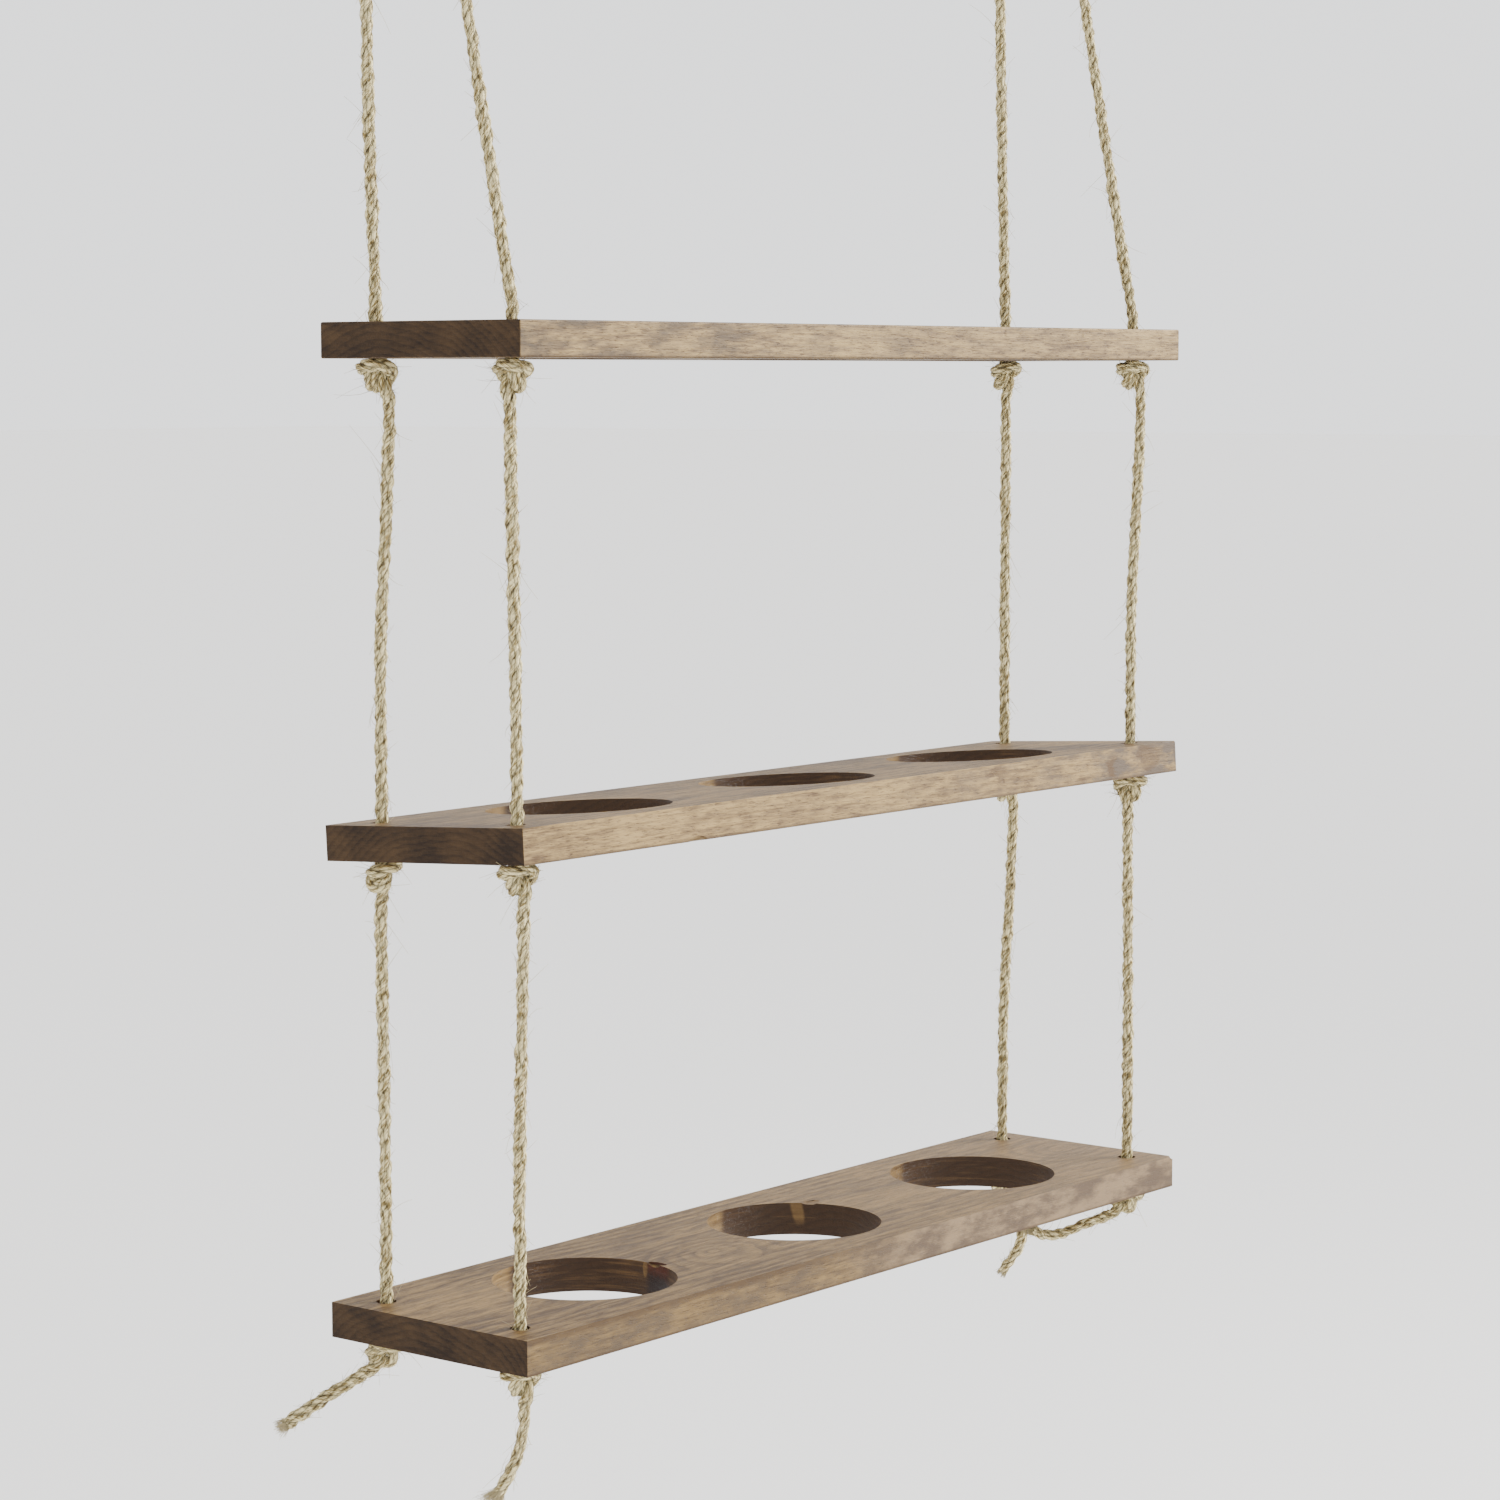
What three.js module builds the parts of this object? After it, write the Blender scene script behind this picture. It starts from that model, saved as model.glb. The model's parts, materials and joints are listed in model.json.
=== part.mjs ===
// Hanging rope shelf: three stained boards with pot holes, hung in tiers on four sisal ropes.
// A rope runs down through a drilled hole near each corner and is stopped by an overhand knot
// under every board. At each end of the shelf the front and the back rope meet in a loop, which
// hangs on the rod of a small wall hook, and the back edges of the boards lean on the wall.
// Millimetres. X runs along the shelf, Y points into the wall and Z is up. The origin lies
// midway between the backs of the two wall plates, at the height of the top of the hook rods.
import * as THREE from "three";

// Boards
const BOARD_LENGTH = 610;
const BOARD_DEPTH = 140;
const BOARD_THICKNESS = 19;
const BOARD_CORNER = 3;
const BOARD_EASE = 1.5;
const TIER_PITCH = 260;
const WALL_GAP = 3;
const MIDDLE_TILT_DEG = 3.26;

// Round pot holes, sawn in a row along each board
const POT_HOLE = 102;
const POT_HOLE_PITCH = 181;
const POT_HOLE_SIDES = 32;

// Holes for the ropes, near the corners of each board
const ROPE_HOLE = 11;
const ROPE_HOLE_FROM_END = 19;
const ROPE_HOLE_FROM_EDGE = 22;
const ROPE_HOLE_SIDES = 10;

// Rope
const ROPE = 6.4;
const KNOT_ROPE_SHARE = 0.92;
const FACE_GAP = 0.3;

// Wall hooks
const HOOK_ABOVE_TOP_BOARD = 600;
const HOOK_REACH = 17;
const LOOP_HEIGHT = 40;
const ROD = 5;
const ROD_BEND = 6;
const ROD_TIP_HEIGHT = 14;
const ROD_TIP_ROOM = 7;
const ROD_FIT = 0.3;
const PLATE_WIDTH = 22;
const PLATE_ABOVE = 18;
const PLATE_BELOW = 24;
const PLATE_THICKNESS = 3;
const PLATE_CORNER = 4;
const SCREW_SHANK = 3.8;
const SCREW_FIT = 0.3;
const SCREW_HEAD = 8;
const SCREW_HEAD_HEIGHT = 2.4;
const SCREW_FROM_PLATE_END = 8;

// Facets
const TUBE_SIDES = 8;
const KNOT_SIDES = 6;
const KNOT_STEPS = 38;
const LOOP_STEPS = 26;
const STRETCH_STEPS = 14;
const HANGER_STEPS = 18;
const ROD_STEPS = 12;
const TAIL_STEPS = 10;
const ROUND_SIDES = 12;

// Places that follow from the sizes
const BOARD_Y = -(WALL_GAP + BOARD_DEPTH / 2);
const HALF = BOARD_THICKNESS / 2;
const HOLE_X = BOARD_LENGTH / 2 - ROPE_HOLE_FROM_END;
const HOLE_Y = BOARD_DEPTH / 2 - ROPE_HOLE_FROM_EDGE;
const LOOP_END_Z = -LOOP_HEIGHT;
const SCREW_HEIGHTS = {
  upper: PLATE_ABOVE - SCREW_FROM_PLATE_END,
  lower: SCREW_FROM_PLATE_END - PLATE_BELOW,
};

// The rows of pot holes, as shares of their pitch: they were drilled by hand.
const TIERS = [
  { name: "top", tilt: 0, hole_shares: [-1, 0, 1] },
  { name: "middle", tilt: -MIDDLE_TILT_DEG, hole_shares: [-1.005, 0, 1] },
  { name: "bottom", tilt: 0, hole_shares: [-0.995, 0.033, 1.022] },
];

const PLACES = [
  { name: "left_back", side: -1, end: 1 },
  { name: "left_front", side: -1, end: -1 },
  { name: "right_back", side: 1, end: 1 },
  { name: "right_front", side: 1, end: -1 },
];

// How each overhand knot is tied: its hand, how far it is turned, and how the rope leaves it.
const KNOTS = {
  top: {
    left_back: { hand: -1, turn: 165, exit: "wide" },
    left_front: { hand: 1, turn: 75, exit: "near" },
    right_back: { hand: -1, turn: 210, exit: "near" },
    right_front: { hand: -1, turn: 175, exit: "wide" },
  },
  middle: {
    left_back: { hand: -1, turn: 255, exit: "wide" },
    left_front: { hand: -1, turn: 180, exit: "near" },
    right_back: { hand: -1, turn: 185, exit: "wide" },
    right_front: { hand: 1, turn: 90, exit: "near" },
  },
  bottom: {
    left_back: { hand: 1, turn: 125, exit: "side" },
    left_front: { hand: -1, turn: 180, exit: "near" },
    right_back: { hand: -1, turn: 180, exit: "near" },
    right_front: { hand: 1, turn: 105, exit: "side" },
  },
};

// The route of the stopper knot, in rope diameters, from the underside of the board down.
const STOPPER_TURNS = [
  [0, 0, 0],
  [0, 0, -0.3],
  [-0.12, 0.01, -0.62],
  [-0.42, 0.02, -1.02],
  [-0.58, -0.05, -1.6],
  [-0.3, -0.45, -2.15],
  [0.45, -0.8, -2.3],
  [1.2, -0.6, -1.95],
  [1.52, 0.05, -1.4],
  [1.15, 0.85, -0.92],
  [0.2, 1.18, -0.64],
  [-0.85, 0.92, -0.56],
  [-1.42, 0.1, -0.64],
  [-1.2, -0.75, -0.82],
  [-0.4, -1.18, -1],
  [0.35, -0.8, -1.15],
  [0.52, -0.05, -1.5],
];
const STOPPER_EXITS = {
  near: [
    [0.45, 0.3, -2.1],
    [0.42, 0.25, -2.75],
    [0.42, 0.15, -3.2],
  ],
  wide: [
    [0.52, 0.34, -2.1],
    [0.74, 0.33, -2.65],
    [0.9, 0.28, -3.2],
  ],
  side: [
    [0.6, 0.4, -2.05],
    [0.95, 0.5, -2.45],
    [1.4, 0.6, -2.75],
  ],
};

// The knot under each loop: an overhand tied by the front rope round the back rope.
const LOOP_KNOT_TURNS = [
  [0, 0, 0],
  [0, 0, -0.35],
  [-0.15, 0, -0.7],
  [-0.45, -0.03, -1.15],
  [-0.6, -0.1, -1.75],
  [-0.3, -0.48, -2.3],
  [0.45, -0.82, -2.45],
  [1.25, -0.55, -2.1],
  [1.65, 0.35, -1.5],
  [1.3, 1.5, -1],
  [0.3, 2.12, -0.75],
  [-0.95, 1.75, -0.7],
  [-1.62, 0.6, -0.8],
  [-1.4, -0.65, -0.95],
  [-0.5, -1.22, -1.1],
  [0.35, -0.85, -1.25],
  [0.58, -0.05, -1.6],
  [0.58, 0.22, -2.2],
  [0.52, 0.15, -2.8],
  [0.42, 0, -3.4],
];

// Half of the loop's route, in rope diameters, from its end over the knot up to its top.
const HALF_LOOP = [
  [0, -0.52, -6.75],
  [0, -0.52, -6.3],
  [0.12, -0.5, -5.8],
  [0.45, -0.42, -5],
  [0.88, -0.26, -4.05],
  [1.2, -0.09, -2.9],
  [1.3, 0, -1.75],
  [1.12, 0, -0.68],
  [0.64, 0, -0.15],
];

// How far a stretch of rope lies off the straight line below its knot: each pair is the
// share of the way down, and the share of the offset with which it leaves the knot above.
const STRETCH_SHARES = [
  [0.05, 0.98],
  [0.1, 0.91],
  [0.18, 0.78],
  [0.26, 0.62],
  [0.34, 0.45],
  [0.42, 0.28],
  [0.5, 0.13],
  [0.58, 0.04],
  [0.66, 0.01],
  [0.74, 0],
  [0.82, 0],
  [0.9, 0],
  [0.96, 0],
  [1, 0],
];

// The bow of a taut rope above the top board: each pair is the share of the way down, and
// the share of a rope diameter by which it bows towards -X there.
const HANGER_SHARES = [
  [0.06, 0.01],
  [0.14, 0.03],
  [0.22, 0.06],
  [0.3, 0.09],
  [0.38, 0.12],
  [0.46, 0.15],
  [0.54, 0.18],
  [0.62, 0.2],
  [0.7, 0.2],
  [0.78, 0.19],
  [0.86, 0.15],
  [0.94, 0.08],
  [1, 0],
];

// The cut tails under the bottom board, in rope diameters from where they leave their knot.
const TAILS = {
  left_back: [
    [0, 0, 0],
    [-0.6, 0.15, -0.3],
    [-1.3, 0.38, -0.6],
    [-2.15, 0.65, -0.95],
    [-3.1, 0.97, -1.35],
    [-4.1, 1.3, -1.8],
    [-5.1, 1.65, -2.3],
    [-6.1, 2, -2.8],
    [-7, 2.3, -3.25],
  ],
  left_front: [
    [0, 0, 0],
    [0, 0, -0.7],
    [-0.05, 0.05, -1.5],
    [-0.15, 0.2, -2.4],
    [-0.3, 0.35, -3.4],
    [-0.55, 0.6, -4.4],
    [-0.85, 0.9, -5.4],
    [-1.2, 1.2, -6.3],
    [-1.6, 1.55, -7.1],
  ],
  right_back: [
    [0, 0, 0],
    [0.2, -0.2, -0.6],
    [0.65, -0.6, -1.2],
    [1.1, -1.05, -2],
    [1.25, -1.3, -3],
    [1, -1.25, -4.1],
    [0.5, -0.95, -5.2],
    [-0.1, -0.5, -6.2],
    [-0.6, -0.15, -7],
  ],
  right_front: [
    [0, 0, 0],
    [-0.6, 0.35, -0.2],
    [-1.4, 0.85, -0.4],
    [-2.3, 1.45, -0.72],
    [-3.3, 2.1, -1.15],
    [-4.3, 2.75, -1.45],
    [-5.2, 3.35, -1.5],
    [-6, 3.9, -1.25],
    [-6.7, 4.4, -0.85],
  ],
};

const stain = new THREE.MeshStandardMaterial({ color: 0x7c6a55, roughness: 0.55, metalness: 0 });
const sisal = new THREE.MeshStandardMaterial({ color: 0xb9a981, roughness: 0.95, metalness: 0 });
const zinc = new THREE.MeshStandardMaterial({ color: 0xa9adb0, roughness: 0.35, metalness: 0.9 });

const shelf = new THREE.Group();

// A named mesh with a material of its own, added to a group.
function addMesh(group, name, geometry, material) {
  const mesh = new THREE.Mesh(geometry, material.clone());
  mesh.name = name;
  group.add(mesh);
  return mesh;
}

// The corners of a regular polygon that stands in for a circle.
function ring(x, y, radius, sides) {
  const points = [];
  for (let i = 0; i < sides; i++) {
    const angle = (2 * Math.PI * i) / sides;
    points.push(new THREE.Vector2(x + radius * Math.cos(angle), y + radius * Math.sin(angle)));
  }
  return points;
}

// A rectangle with round corners, around the origin or between two heights.
function roundedRectangle(width, low, high, corner) {
  const right = width / 2;
  const shape = new THREE.Shape();
  shape.moveTo(-right + corner, low);
  shape.lineTo(right - corner, low);
  shape.quadraticCurveTo(right, low, right, low + corner);
  shape.lineTo(right, high - corner);
  shape.quadraticCurveTo(right, high, right - corner, high);
  shape.lineTo(-right + corner, high);
  shape.quadraticCurveTo(-right, high, -right, high - corner);
  shape.lineTo(-right, low + corner);
  shape.quadraticCurveTo(-right, low, -right + corner, low);
  return shape;
}

// A closed tube along a smooth curve through the given points.
function tube(points, diameter, sides, steps) {
  const section = new THREE.Shape(ring(0, 0, diameter / 2, sides));
  const path = new THREE.CatmullRomCurve3(points);
  return new THREE.ExtrudeGeometry(section, { steps, extrudePath: path });
}

// Points given in rope diameters, as vectors in millimetres from a start.
function inRope(points, start = new THREE.Vector3(), hand = 1) {
  return points.map(([x, y, z]) => new THREE.Vector3(hand * x, y, z).multiplyScalar(ROPE).add(start));
}

// A board, level about its own middle: eased edges, a row of pot holes and four rope holes.
function boardGeometry(tier) {
  const shape = roundedRectangle(BOARD_LENGTH, -BOARD_DEPTH / 2, BOARD_DEPTH / 2, BOARD_CORNER);
  for (const share of tier.hole_shares) {
    const rim = ring(share * POT_HOLE_PITCH, 0, POT_HOLE / 2, POT_HOLE_SIDES);
    shape.holes.push(new THREE.Path(rim));
  }
  for (const place of PLACES) {
    const rim = ring(place.side * HOLE_X, place.end * HOLE_Y, ROPE_HOLE / 2, ROPE_HOLE_SIDES);
    shape.holes.push(new THREE.Path(rim));
  }
  const geometry = new THREE.ExtrudeGeometry(shape, {
    depth: BOARD_THICKNESS - 2 * BOARD_EASE,
    bevelThickness: BOARD_EASE,
    bevelSize: BOARD_EASE,
    bevelOffset: -BOARD_EASE,
    bevelSegments: 1,
    curveSegments: 3,
  });
  return geometry.translate(0, 0, BOARD_EASE - HALF);
}

// The route of one stopper knot, from its entry. Under the top board it starts in the hole.
function stopperRoute(tier, tied) {
  const route = inRope([...STOPPER_TURNS, ...STOPPER_EXITS[tied.exit]], undefined, tied.hand);
  if (tier.name === "top") {
    route.unshift(new THREE.Vector3(0, 0, BOARD_THICKNESS - FACE_GAP));
    route.splice(1, 0, new THREE.Vector3(0, 0, HALF));
  } else {
    route[0].z -= FACE_GAP;
  }
  return route;
}

// One tier: the board and its four knots in a group that tilts about the middle of the board.
function buildTier(tier, level) {
  const group = new THREE.Group();
  group.position.set(0, BOARD_Y, -HOOK_ABOVE_TOP_BOARD - level * TIER_PITCH - HALF);
  group.rotation.x = THREE.MathUtils.degToRad(tier.tilt);
  addMesh(group, tier.name + "_board", boardGeometry(tier), stain);
  const ends = {};
  for (const place of PLACES) {
    const tied = KNOTS[tier.name][place.name];
    const route = stopperRoute(tier, tied);
    const solid = tube(route, ROPE * KNOT_ROPE_SHARE, KNOT_SIDES, KNOT_STEPS);
    const knot = addMesh(group, "knot_" + tier.name + "_" + place.name, solid, sisal);
    knot.position.set(place.side * HOLE_X, place.end * HOLE_Y, -HALF);
    knot.rotation.z = THREE.MathUtils.degToRad(tied.turn);
    ends[place.name] = { knot, entry: new THREE.Vector3(), last: route.slice(-2) };
  }
  shelf.add(group);
  group.updateMatrixWorld(true);
  for (const { knot, entry, last } of Object.values(ends)) {
    knot.localToWorld(entry);
    for (const point of last) knot.localToWorld(point);
  }
  return ends;
}

// Two points that take a rope straight on from the last two points of the piece before it.
function goOn([before, exit], run) {
  const away = exit.clone().sub(before);
  return [FACE_GAP, run].map((length) => exit.clone().add(away.clone().setLength(length)));
}

// The rope between two tiers: it leaves the knot above to one side and comes back to its line.
function buildStretch(name, above, below) {
  const start = goOn(above.last, ROPE / 2);
  const top = new THREE.Vector3(above.entry.x, above.entry.y, start[0].z);
  const offset = start[1].clone().setZ(top.z).sub(top);
  const rest = STRETCH_SHARES.map(([down, aside]) =>
    top.clone().lerp(below.entry, down).addScaledVector(offset, aside),
  );
  addMesh(shelf, name, tube([...start, ...rest], ROPE, TUBE_SIDES, STRETCH_STEPS), sisal);
}

// The cut tail that hangs from a knot of the bottom board.
function buildTail(place, above) {
  const start = goOn(above.last, ROPE / 2);
  const rest = inRope(TAILS[place.name], start[1]);
  const solid = tube([...start, ...rest], ROPE, TUBE_SIDES, TAIL_STEPS);
  addMesh(shelf, "rope_tail_" + place.name, solid, sisal);
}

// A taut rope from its first points under the loop to the top face of the top board.
function buildHanger(place, start, hole) {
  const end = new THREE.Vector3(hole.x, hole.y, -HOOK_ABOVE_TOP_BOARD + FACE_GAP);
  const bend = end.clone();
  bend.z += ROPE;
  const points = HANGER_SHARES.map(([down, bow]) => {
    const point = start[1].clone().lerp(bend, down);
    point.x -= bow * ROPE;
    return point;
  });
  const solid = tube([...start, ...points, end], ROPE, TUBE_SIDES, HANGER_STEPS);
  addMesh(shelf, "hanger_rope_" + place.name, solid, sisal);
}

// The loop over the hook rod, the knot under it, and the two ropes that hang from them.
function buildHanging(side, sideName, topEnds) {
  const x = side * HOLE_X;
  const top = new THREE.Vector3(x, -HOOK_REACH, ROPE / 2 + FACE_GAP);
  const rising = inRope(HALF_LOOP);
  const falling = rising.map((p) => new THREE.Vector3(-p.x, -p.y, p.z)).reverse();
  const loop = [...rising, new THREE.Vector3(), ...falling].map((p) => p.add(top));
  loop[0].z = LOOP_END_Z + FACE_GAP;
  loop.at(-1).z = LOOP_END_Z + FACE_GAP;
  addMesh(shelf, "rope_loop_" + sideName, tube(loop, ROPE, TUBE_SIDES, LOOP_STEPS), sisal);

  const entry = new THREE.Vector3(loop[0].x, loop[0].y, LOOP_END_Z - FACE_GAP);
  const route = inRope(LOOP_KNOT_TURNS, entry);
  const solid = tube(route, ROPE * KNOT_ROPE_SHARE, KNOT_SIDES, KNOT_STEPS);
  addMesh(shelf, "loop_knot_" + sideName, solid, sisal);

  const behind = loop.at(-1).clone().setZ(entry.z);
  const below = behind.clone().setZ(route.at(-1).z);
  for (const place of PLACES.filter((one) => one.side === side)) {
    const start = place.end < 0 ? goOn(route.slice(-2), ROPE) : [behind, below];
    buildHanger(place, start, topEnds[place.name].entry);
  }
}

// The rod of a hook: straight out of the plate, then a short upturned tip.
function rodGeometry() {
  const axis = -ROD / 2;
  const tip = -(HOOK_REACH + ROPE / 2 + ROD_TIP_ROOM + ROD / 2);
  const path = new THREE.CurvePath();
  const corner = new THREE.Vector3(0, tip, axis);
  const before = new THREE.Vector3(0, tip + ROD_BEND, axis);
  const after = new THREE.Vector3(0, tip, axis + ROD_BEND);
  path.add(new THREE.LineCurve3(new THREE.Vector3(0, -ROD_FIT, axis), before));
  path.add(new THREE.QuadraticBezierCurve3(before, corner, after));
  path.add(new THREE.LineCurve3(after, new THREE.Vector3(0, tip, axis + ROD_TIP_HEIGHT)));
  const section = new THREE.Shape(ring(0, 0, ROD / 2, ROUND_SIDES));
  return new THREE.ExtrudeGeometry(section, { steps: ROD_STEPS, extrudePath: path });
}

// The wall plate, with holes for the rod and for two screws.
function plateGeometry() {
  const shape = roundedRectangle(PLATE_WIDTH, -PLATE_BELOW, PLATE_ABOVE, PLATE_CORNER);
  const rodHole = ring(0, -ROD / 2, ROD / 2 + ROD_FIT, ROUND_SIDES);
  shape.holes.push(new THREE.Path(rodHole));
  for (const height of Object.values(SCREW_HEIGHTS)) {
    const screwHole = ring(0, height, SCREW_SHANK / 2 + SCREW_FIT, ROUND_SIDES);
    shape.holes.push(new THREE.Path(screwHole));
  }
  const flat = new THREE.ExtrudeGeometry(shape, {
    depth: PLATE_THICKNESS,
    bevelEnabled: false,
    curveSegments: 4,
  });
  return flat.rotateX(Math.PI / 2);
}

// A pan-head screw that points into the wall, as far as the back of the plate.
function screwGeometry(height) {
  const seat = PLATE_THICKNESS + SCREW_FIT;
  const profile = [
    new THREE.Vector2(0, SCREW_FIT),
    new THREE.Vector2(SCREW_SHANK / 2, SCREW_FIT),
    new THREE.Vector2(SCREW_SHANK / 2, seat),
    new THREE.Vector2(SCREW_HEAD / 2, seat),
    new THREE.Vector2(SCREW_HEAD / 2, seat + SCREW_HEAD_HEIGHT / 2),
    new THREE.Vector2(SCREW_HEAD / 4, seat + SCREW_HEAD_HEIGHT),
    new THREE.Vector2(0, seat + SCREW_HEAD_HEIGHT),
  ];
  const screw = new THREE.LatheGeometry(profile, ROUND_SIDES);
  return screw.rotateX(Math.PI).translate(0, 0, height);
}

// One wall hook: plate, rod and two screws in a group at its place on the wall.
function buildHook(side, sideName) {
  const group = new THREE.Group();
  group.position.x = side * HOLE_X;
  addMesh(group, "wall_plate_" + sideName, plateGeometry(), zinc);
  addMesh(group, "hook_rod_" + sideName, rodGeometry(), zinc);
  for (const [end, height] of Object.entries(SCREW_HEIGHTS)) {
    addMesh(group, "hook_screw_" + end + "_" + sideName, screwGeometry(height), zinc);
  }
  shelf.add(group);
}

const tiers = TIERS.map(buildTier);
for (const place of PLACES) {
  const [top, middle, bottom] = tiers.map((ends) => ends[place.name]);
  buildStretch("upper_rope_" + place.name, top, middle);
  buildStretch("lower_rope_" + place.name, middle, bottom);
  buildTail(place, bottom);
}
buildHanging(-1, "left", tiers[0]);
buildHanging(1, "right", tiers[0]);
buildHook(-1, "left");
buildHook(1, "right");

export default shelf;
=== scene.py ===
"""The finish of a hanging rope shelf: stained boards, laid sisal ropes with their knots, and wall hooks.

Metres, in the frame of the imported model: X along the shelf, Y into the wall, Z up.
"""

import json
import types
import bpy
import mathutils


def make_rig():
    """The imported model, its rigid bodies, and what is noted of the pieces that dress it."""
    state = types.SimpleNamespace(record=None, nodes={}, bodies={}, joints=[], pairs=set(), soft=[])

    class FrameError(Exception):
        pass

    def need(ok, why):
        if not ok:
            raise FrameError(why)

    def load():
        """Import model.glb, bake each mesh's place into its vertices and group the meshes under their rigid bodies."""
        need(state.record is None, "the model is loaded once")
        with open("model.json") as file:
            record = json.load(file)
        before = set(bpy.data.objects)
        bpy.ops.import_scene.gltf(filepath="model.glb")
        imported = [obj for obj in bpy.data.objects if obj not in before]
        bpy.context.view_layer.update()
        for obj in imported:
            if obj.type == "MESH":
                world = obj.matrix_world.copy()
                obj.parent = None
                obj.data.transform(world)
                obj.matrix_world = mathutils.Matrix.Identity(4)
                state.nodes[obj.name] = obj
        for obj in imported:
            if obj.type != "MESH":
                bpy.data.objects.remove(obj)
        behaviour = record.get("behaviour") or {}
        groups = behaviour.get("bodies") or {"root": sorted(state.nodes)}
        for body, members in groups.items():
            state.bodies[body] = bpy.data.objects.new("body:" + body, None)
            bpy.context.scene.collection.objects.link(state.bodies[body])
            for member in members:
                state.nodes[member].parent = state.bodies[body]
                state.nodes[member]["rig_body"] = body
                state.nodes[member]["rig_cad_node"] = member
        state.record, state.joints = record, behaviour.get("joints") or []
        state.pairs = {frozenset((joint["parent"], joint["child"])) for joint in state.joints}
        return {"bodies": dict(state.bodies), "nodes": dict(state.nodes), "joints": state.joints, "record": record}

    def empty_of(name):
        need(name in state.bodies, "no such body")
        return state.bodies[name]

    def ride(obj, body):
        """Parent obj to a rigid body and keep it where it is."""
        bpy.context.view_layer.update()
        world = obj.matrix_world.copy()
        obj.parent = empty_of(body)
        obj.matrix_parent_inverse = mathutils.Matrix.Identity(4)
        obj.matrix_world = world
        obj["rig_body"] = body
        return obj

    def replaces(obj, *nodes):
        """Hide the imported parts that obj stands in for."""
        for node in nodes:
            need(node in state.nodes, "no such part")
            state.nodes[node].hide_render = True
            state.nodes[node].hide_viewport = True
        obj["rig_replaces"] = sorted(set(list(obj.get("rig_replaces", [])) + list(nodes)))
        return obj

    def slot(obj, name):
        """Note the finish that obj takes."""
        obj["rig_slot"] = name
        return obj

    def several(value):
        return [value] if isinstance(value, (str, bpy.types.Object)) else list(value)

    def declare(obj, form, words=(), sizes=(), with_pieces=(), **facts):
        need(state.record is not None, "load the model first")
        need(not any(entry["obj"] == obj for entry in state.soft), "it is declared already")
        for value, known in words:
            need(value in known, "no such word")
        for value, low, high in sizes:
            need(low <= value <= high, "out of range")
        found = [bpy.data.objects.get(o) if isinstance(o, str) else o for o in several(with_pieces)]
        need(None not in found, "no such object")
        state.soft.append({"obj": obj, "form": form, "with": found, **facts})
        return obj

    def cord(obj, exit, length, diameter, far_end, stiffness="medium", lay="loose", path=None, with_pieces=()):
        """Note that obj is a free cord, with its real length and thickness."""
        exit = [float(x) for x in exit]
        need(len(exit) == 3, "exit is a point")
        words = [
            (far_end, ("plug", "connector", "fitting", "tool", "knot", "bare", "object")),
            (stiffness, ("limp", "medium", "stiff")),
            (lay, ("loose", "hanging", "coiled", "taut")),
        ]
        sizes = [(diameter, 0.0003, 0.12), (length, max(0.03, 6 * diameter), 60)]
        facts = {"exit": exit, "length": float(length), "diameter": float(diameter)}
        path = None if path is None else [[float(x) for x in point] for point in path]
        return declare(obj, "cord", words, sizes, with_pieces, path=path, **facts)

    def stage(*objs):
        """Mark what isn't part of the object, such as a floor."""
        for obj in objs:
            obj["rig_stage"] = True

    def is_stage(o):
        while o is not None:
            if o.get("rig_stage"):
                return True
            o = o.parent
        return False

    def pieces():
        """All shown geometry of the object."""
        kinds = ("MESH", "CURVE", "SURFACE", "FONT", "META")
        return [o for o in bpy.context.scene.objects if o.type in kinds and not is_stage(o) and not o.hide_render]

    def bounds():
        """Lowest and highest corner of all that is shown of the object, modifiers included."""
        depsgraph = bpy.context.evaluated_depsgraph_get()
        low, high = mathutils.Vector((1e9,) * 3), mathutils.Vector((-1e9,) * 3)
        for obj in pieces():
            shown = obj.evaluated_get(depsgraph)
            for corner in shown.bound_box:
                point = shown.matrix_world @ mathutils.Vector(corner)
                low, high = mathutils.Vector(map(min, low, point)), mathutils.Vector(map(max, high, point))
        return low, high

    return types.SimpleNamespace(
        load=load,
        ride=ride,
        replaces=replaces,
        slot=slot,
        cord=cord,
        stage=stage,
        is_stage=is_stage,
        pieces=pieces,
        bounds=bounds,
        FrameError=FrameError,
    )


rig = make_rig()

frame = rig.load()
import json
import logging
import math
from contextlib import contextmanager
from dataclasses import dataclass
from enum import Enum
from typing import Any, Callable, Iterable, Iterator

import bmesh
import bpy
import numpy as np
from mathutils import Matrix, Vector

CAD_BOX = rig.bounds()
LOG = logging.getLogger("rope_shelf")
Point = tuple[float, float, float]
Piece = bpy.types.Object
Finish = bpy.types.Material
Array = np.ndarray

# Sizes of the boards and the rope, as they were made
BOARD_LENGTH = 0.610
BOARD_DEPTH = 0.140
BOARD_THICKNESS = 0.019
BOARD_CORNER = 0.003
BOARD_EASE = 0.0015
TIER_PITCH = 0.260
WALL_GAP = 0.003
MIDDLE_TILT_DEG = 3.26
POT_HOLE = 0.102
POT_HOLE_PITCH = 0.181
ROPE_HOLE = 0.011
ROPE_HOLE_FROM_END = 0.019
ROPE_HOLE_FROM_EDGE = 0.022
ROPE = 0.0064
ROPE_LAY = 4.0 * ROPE
YARNS_PER_METRE = 840.0
KNOT_ROPE_SHARE = 1.10
KNOT_DRAWN_IN = 0.84
FACE_GAP = 0.0003
HOOK_ABOVE_TOP_BOARD = 0.600
HOOK_REACH = 0.017
LOOP_HEIGHT = 0.040

BOARD_Y = -(WALL_GAP + BOARD_DEPTH / 2)
HOLE_X = BOARD_LENGTH / 2 - ROPE_HOLE_FROM_END
HOLE_Y = BOARD_DEPTH / 2 - ROPE_HOLE_FROM_EDGE

# Angle between two faces above which the edge between them is drawn sharp
SHARP_EDGE = math.radians(35)


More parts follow.
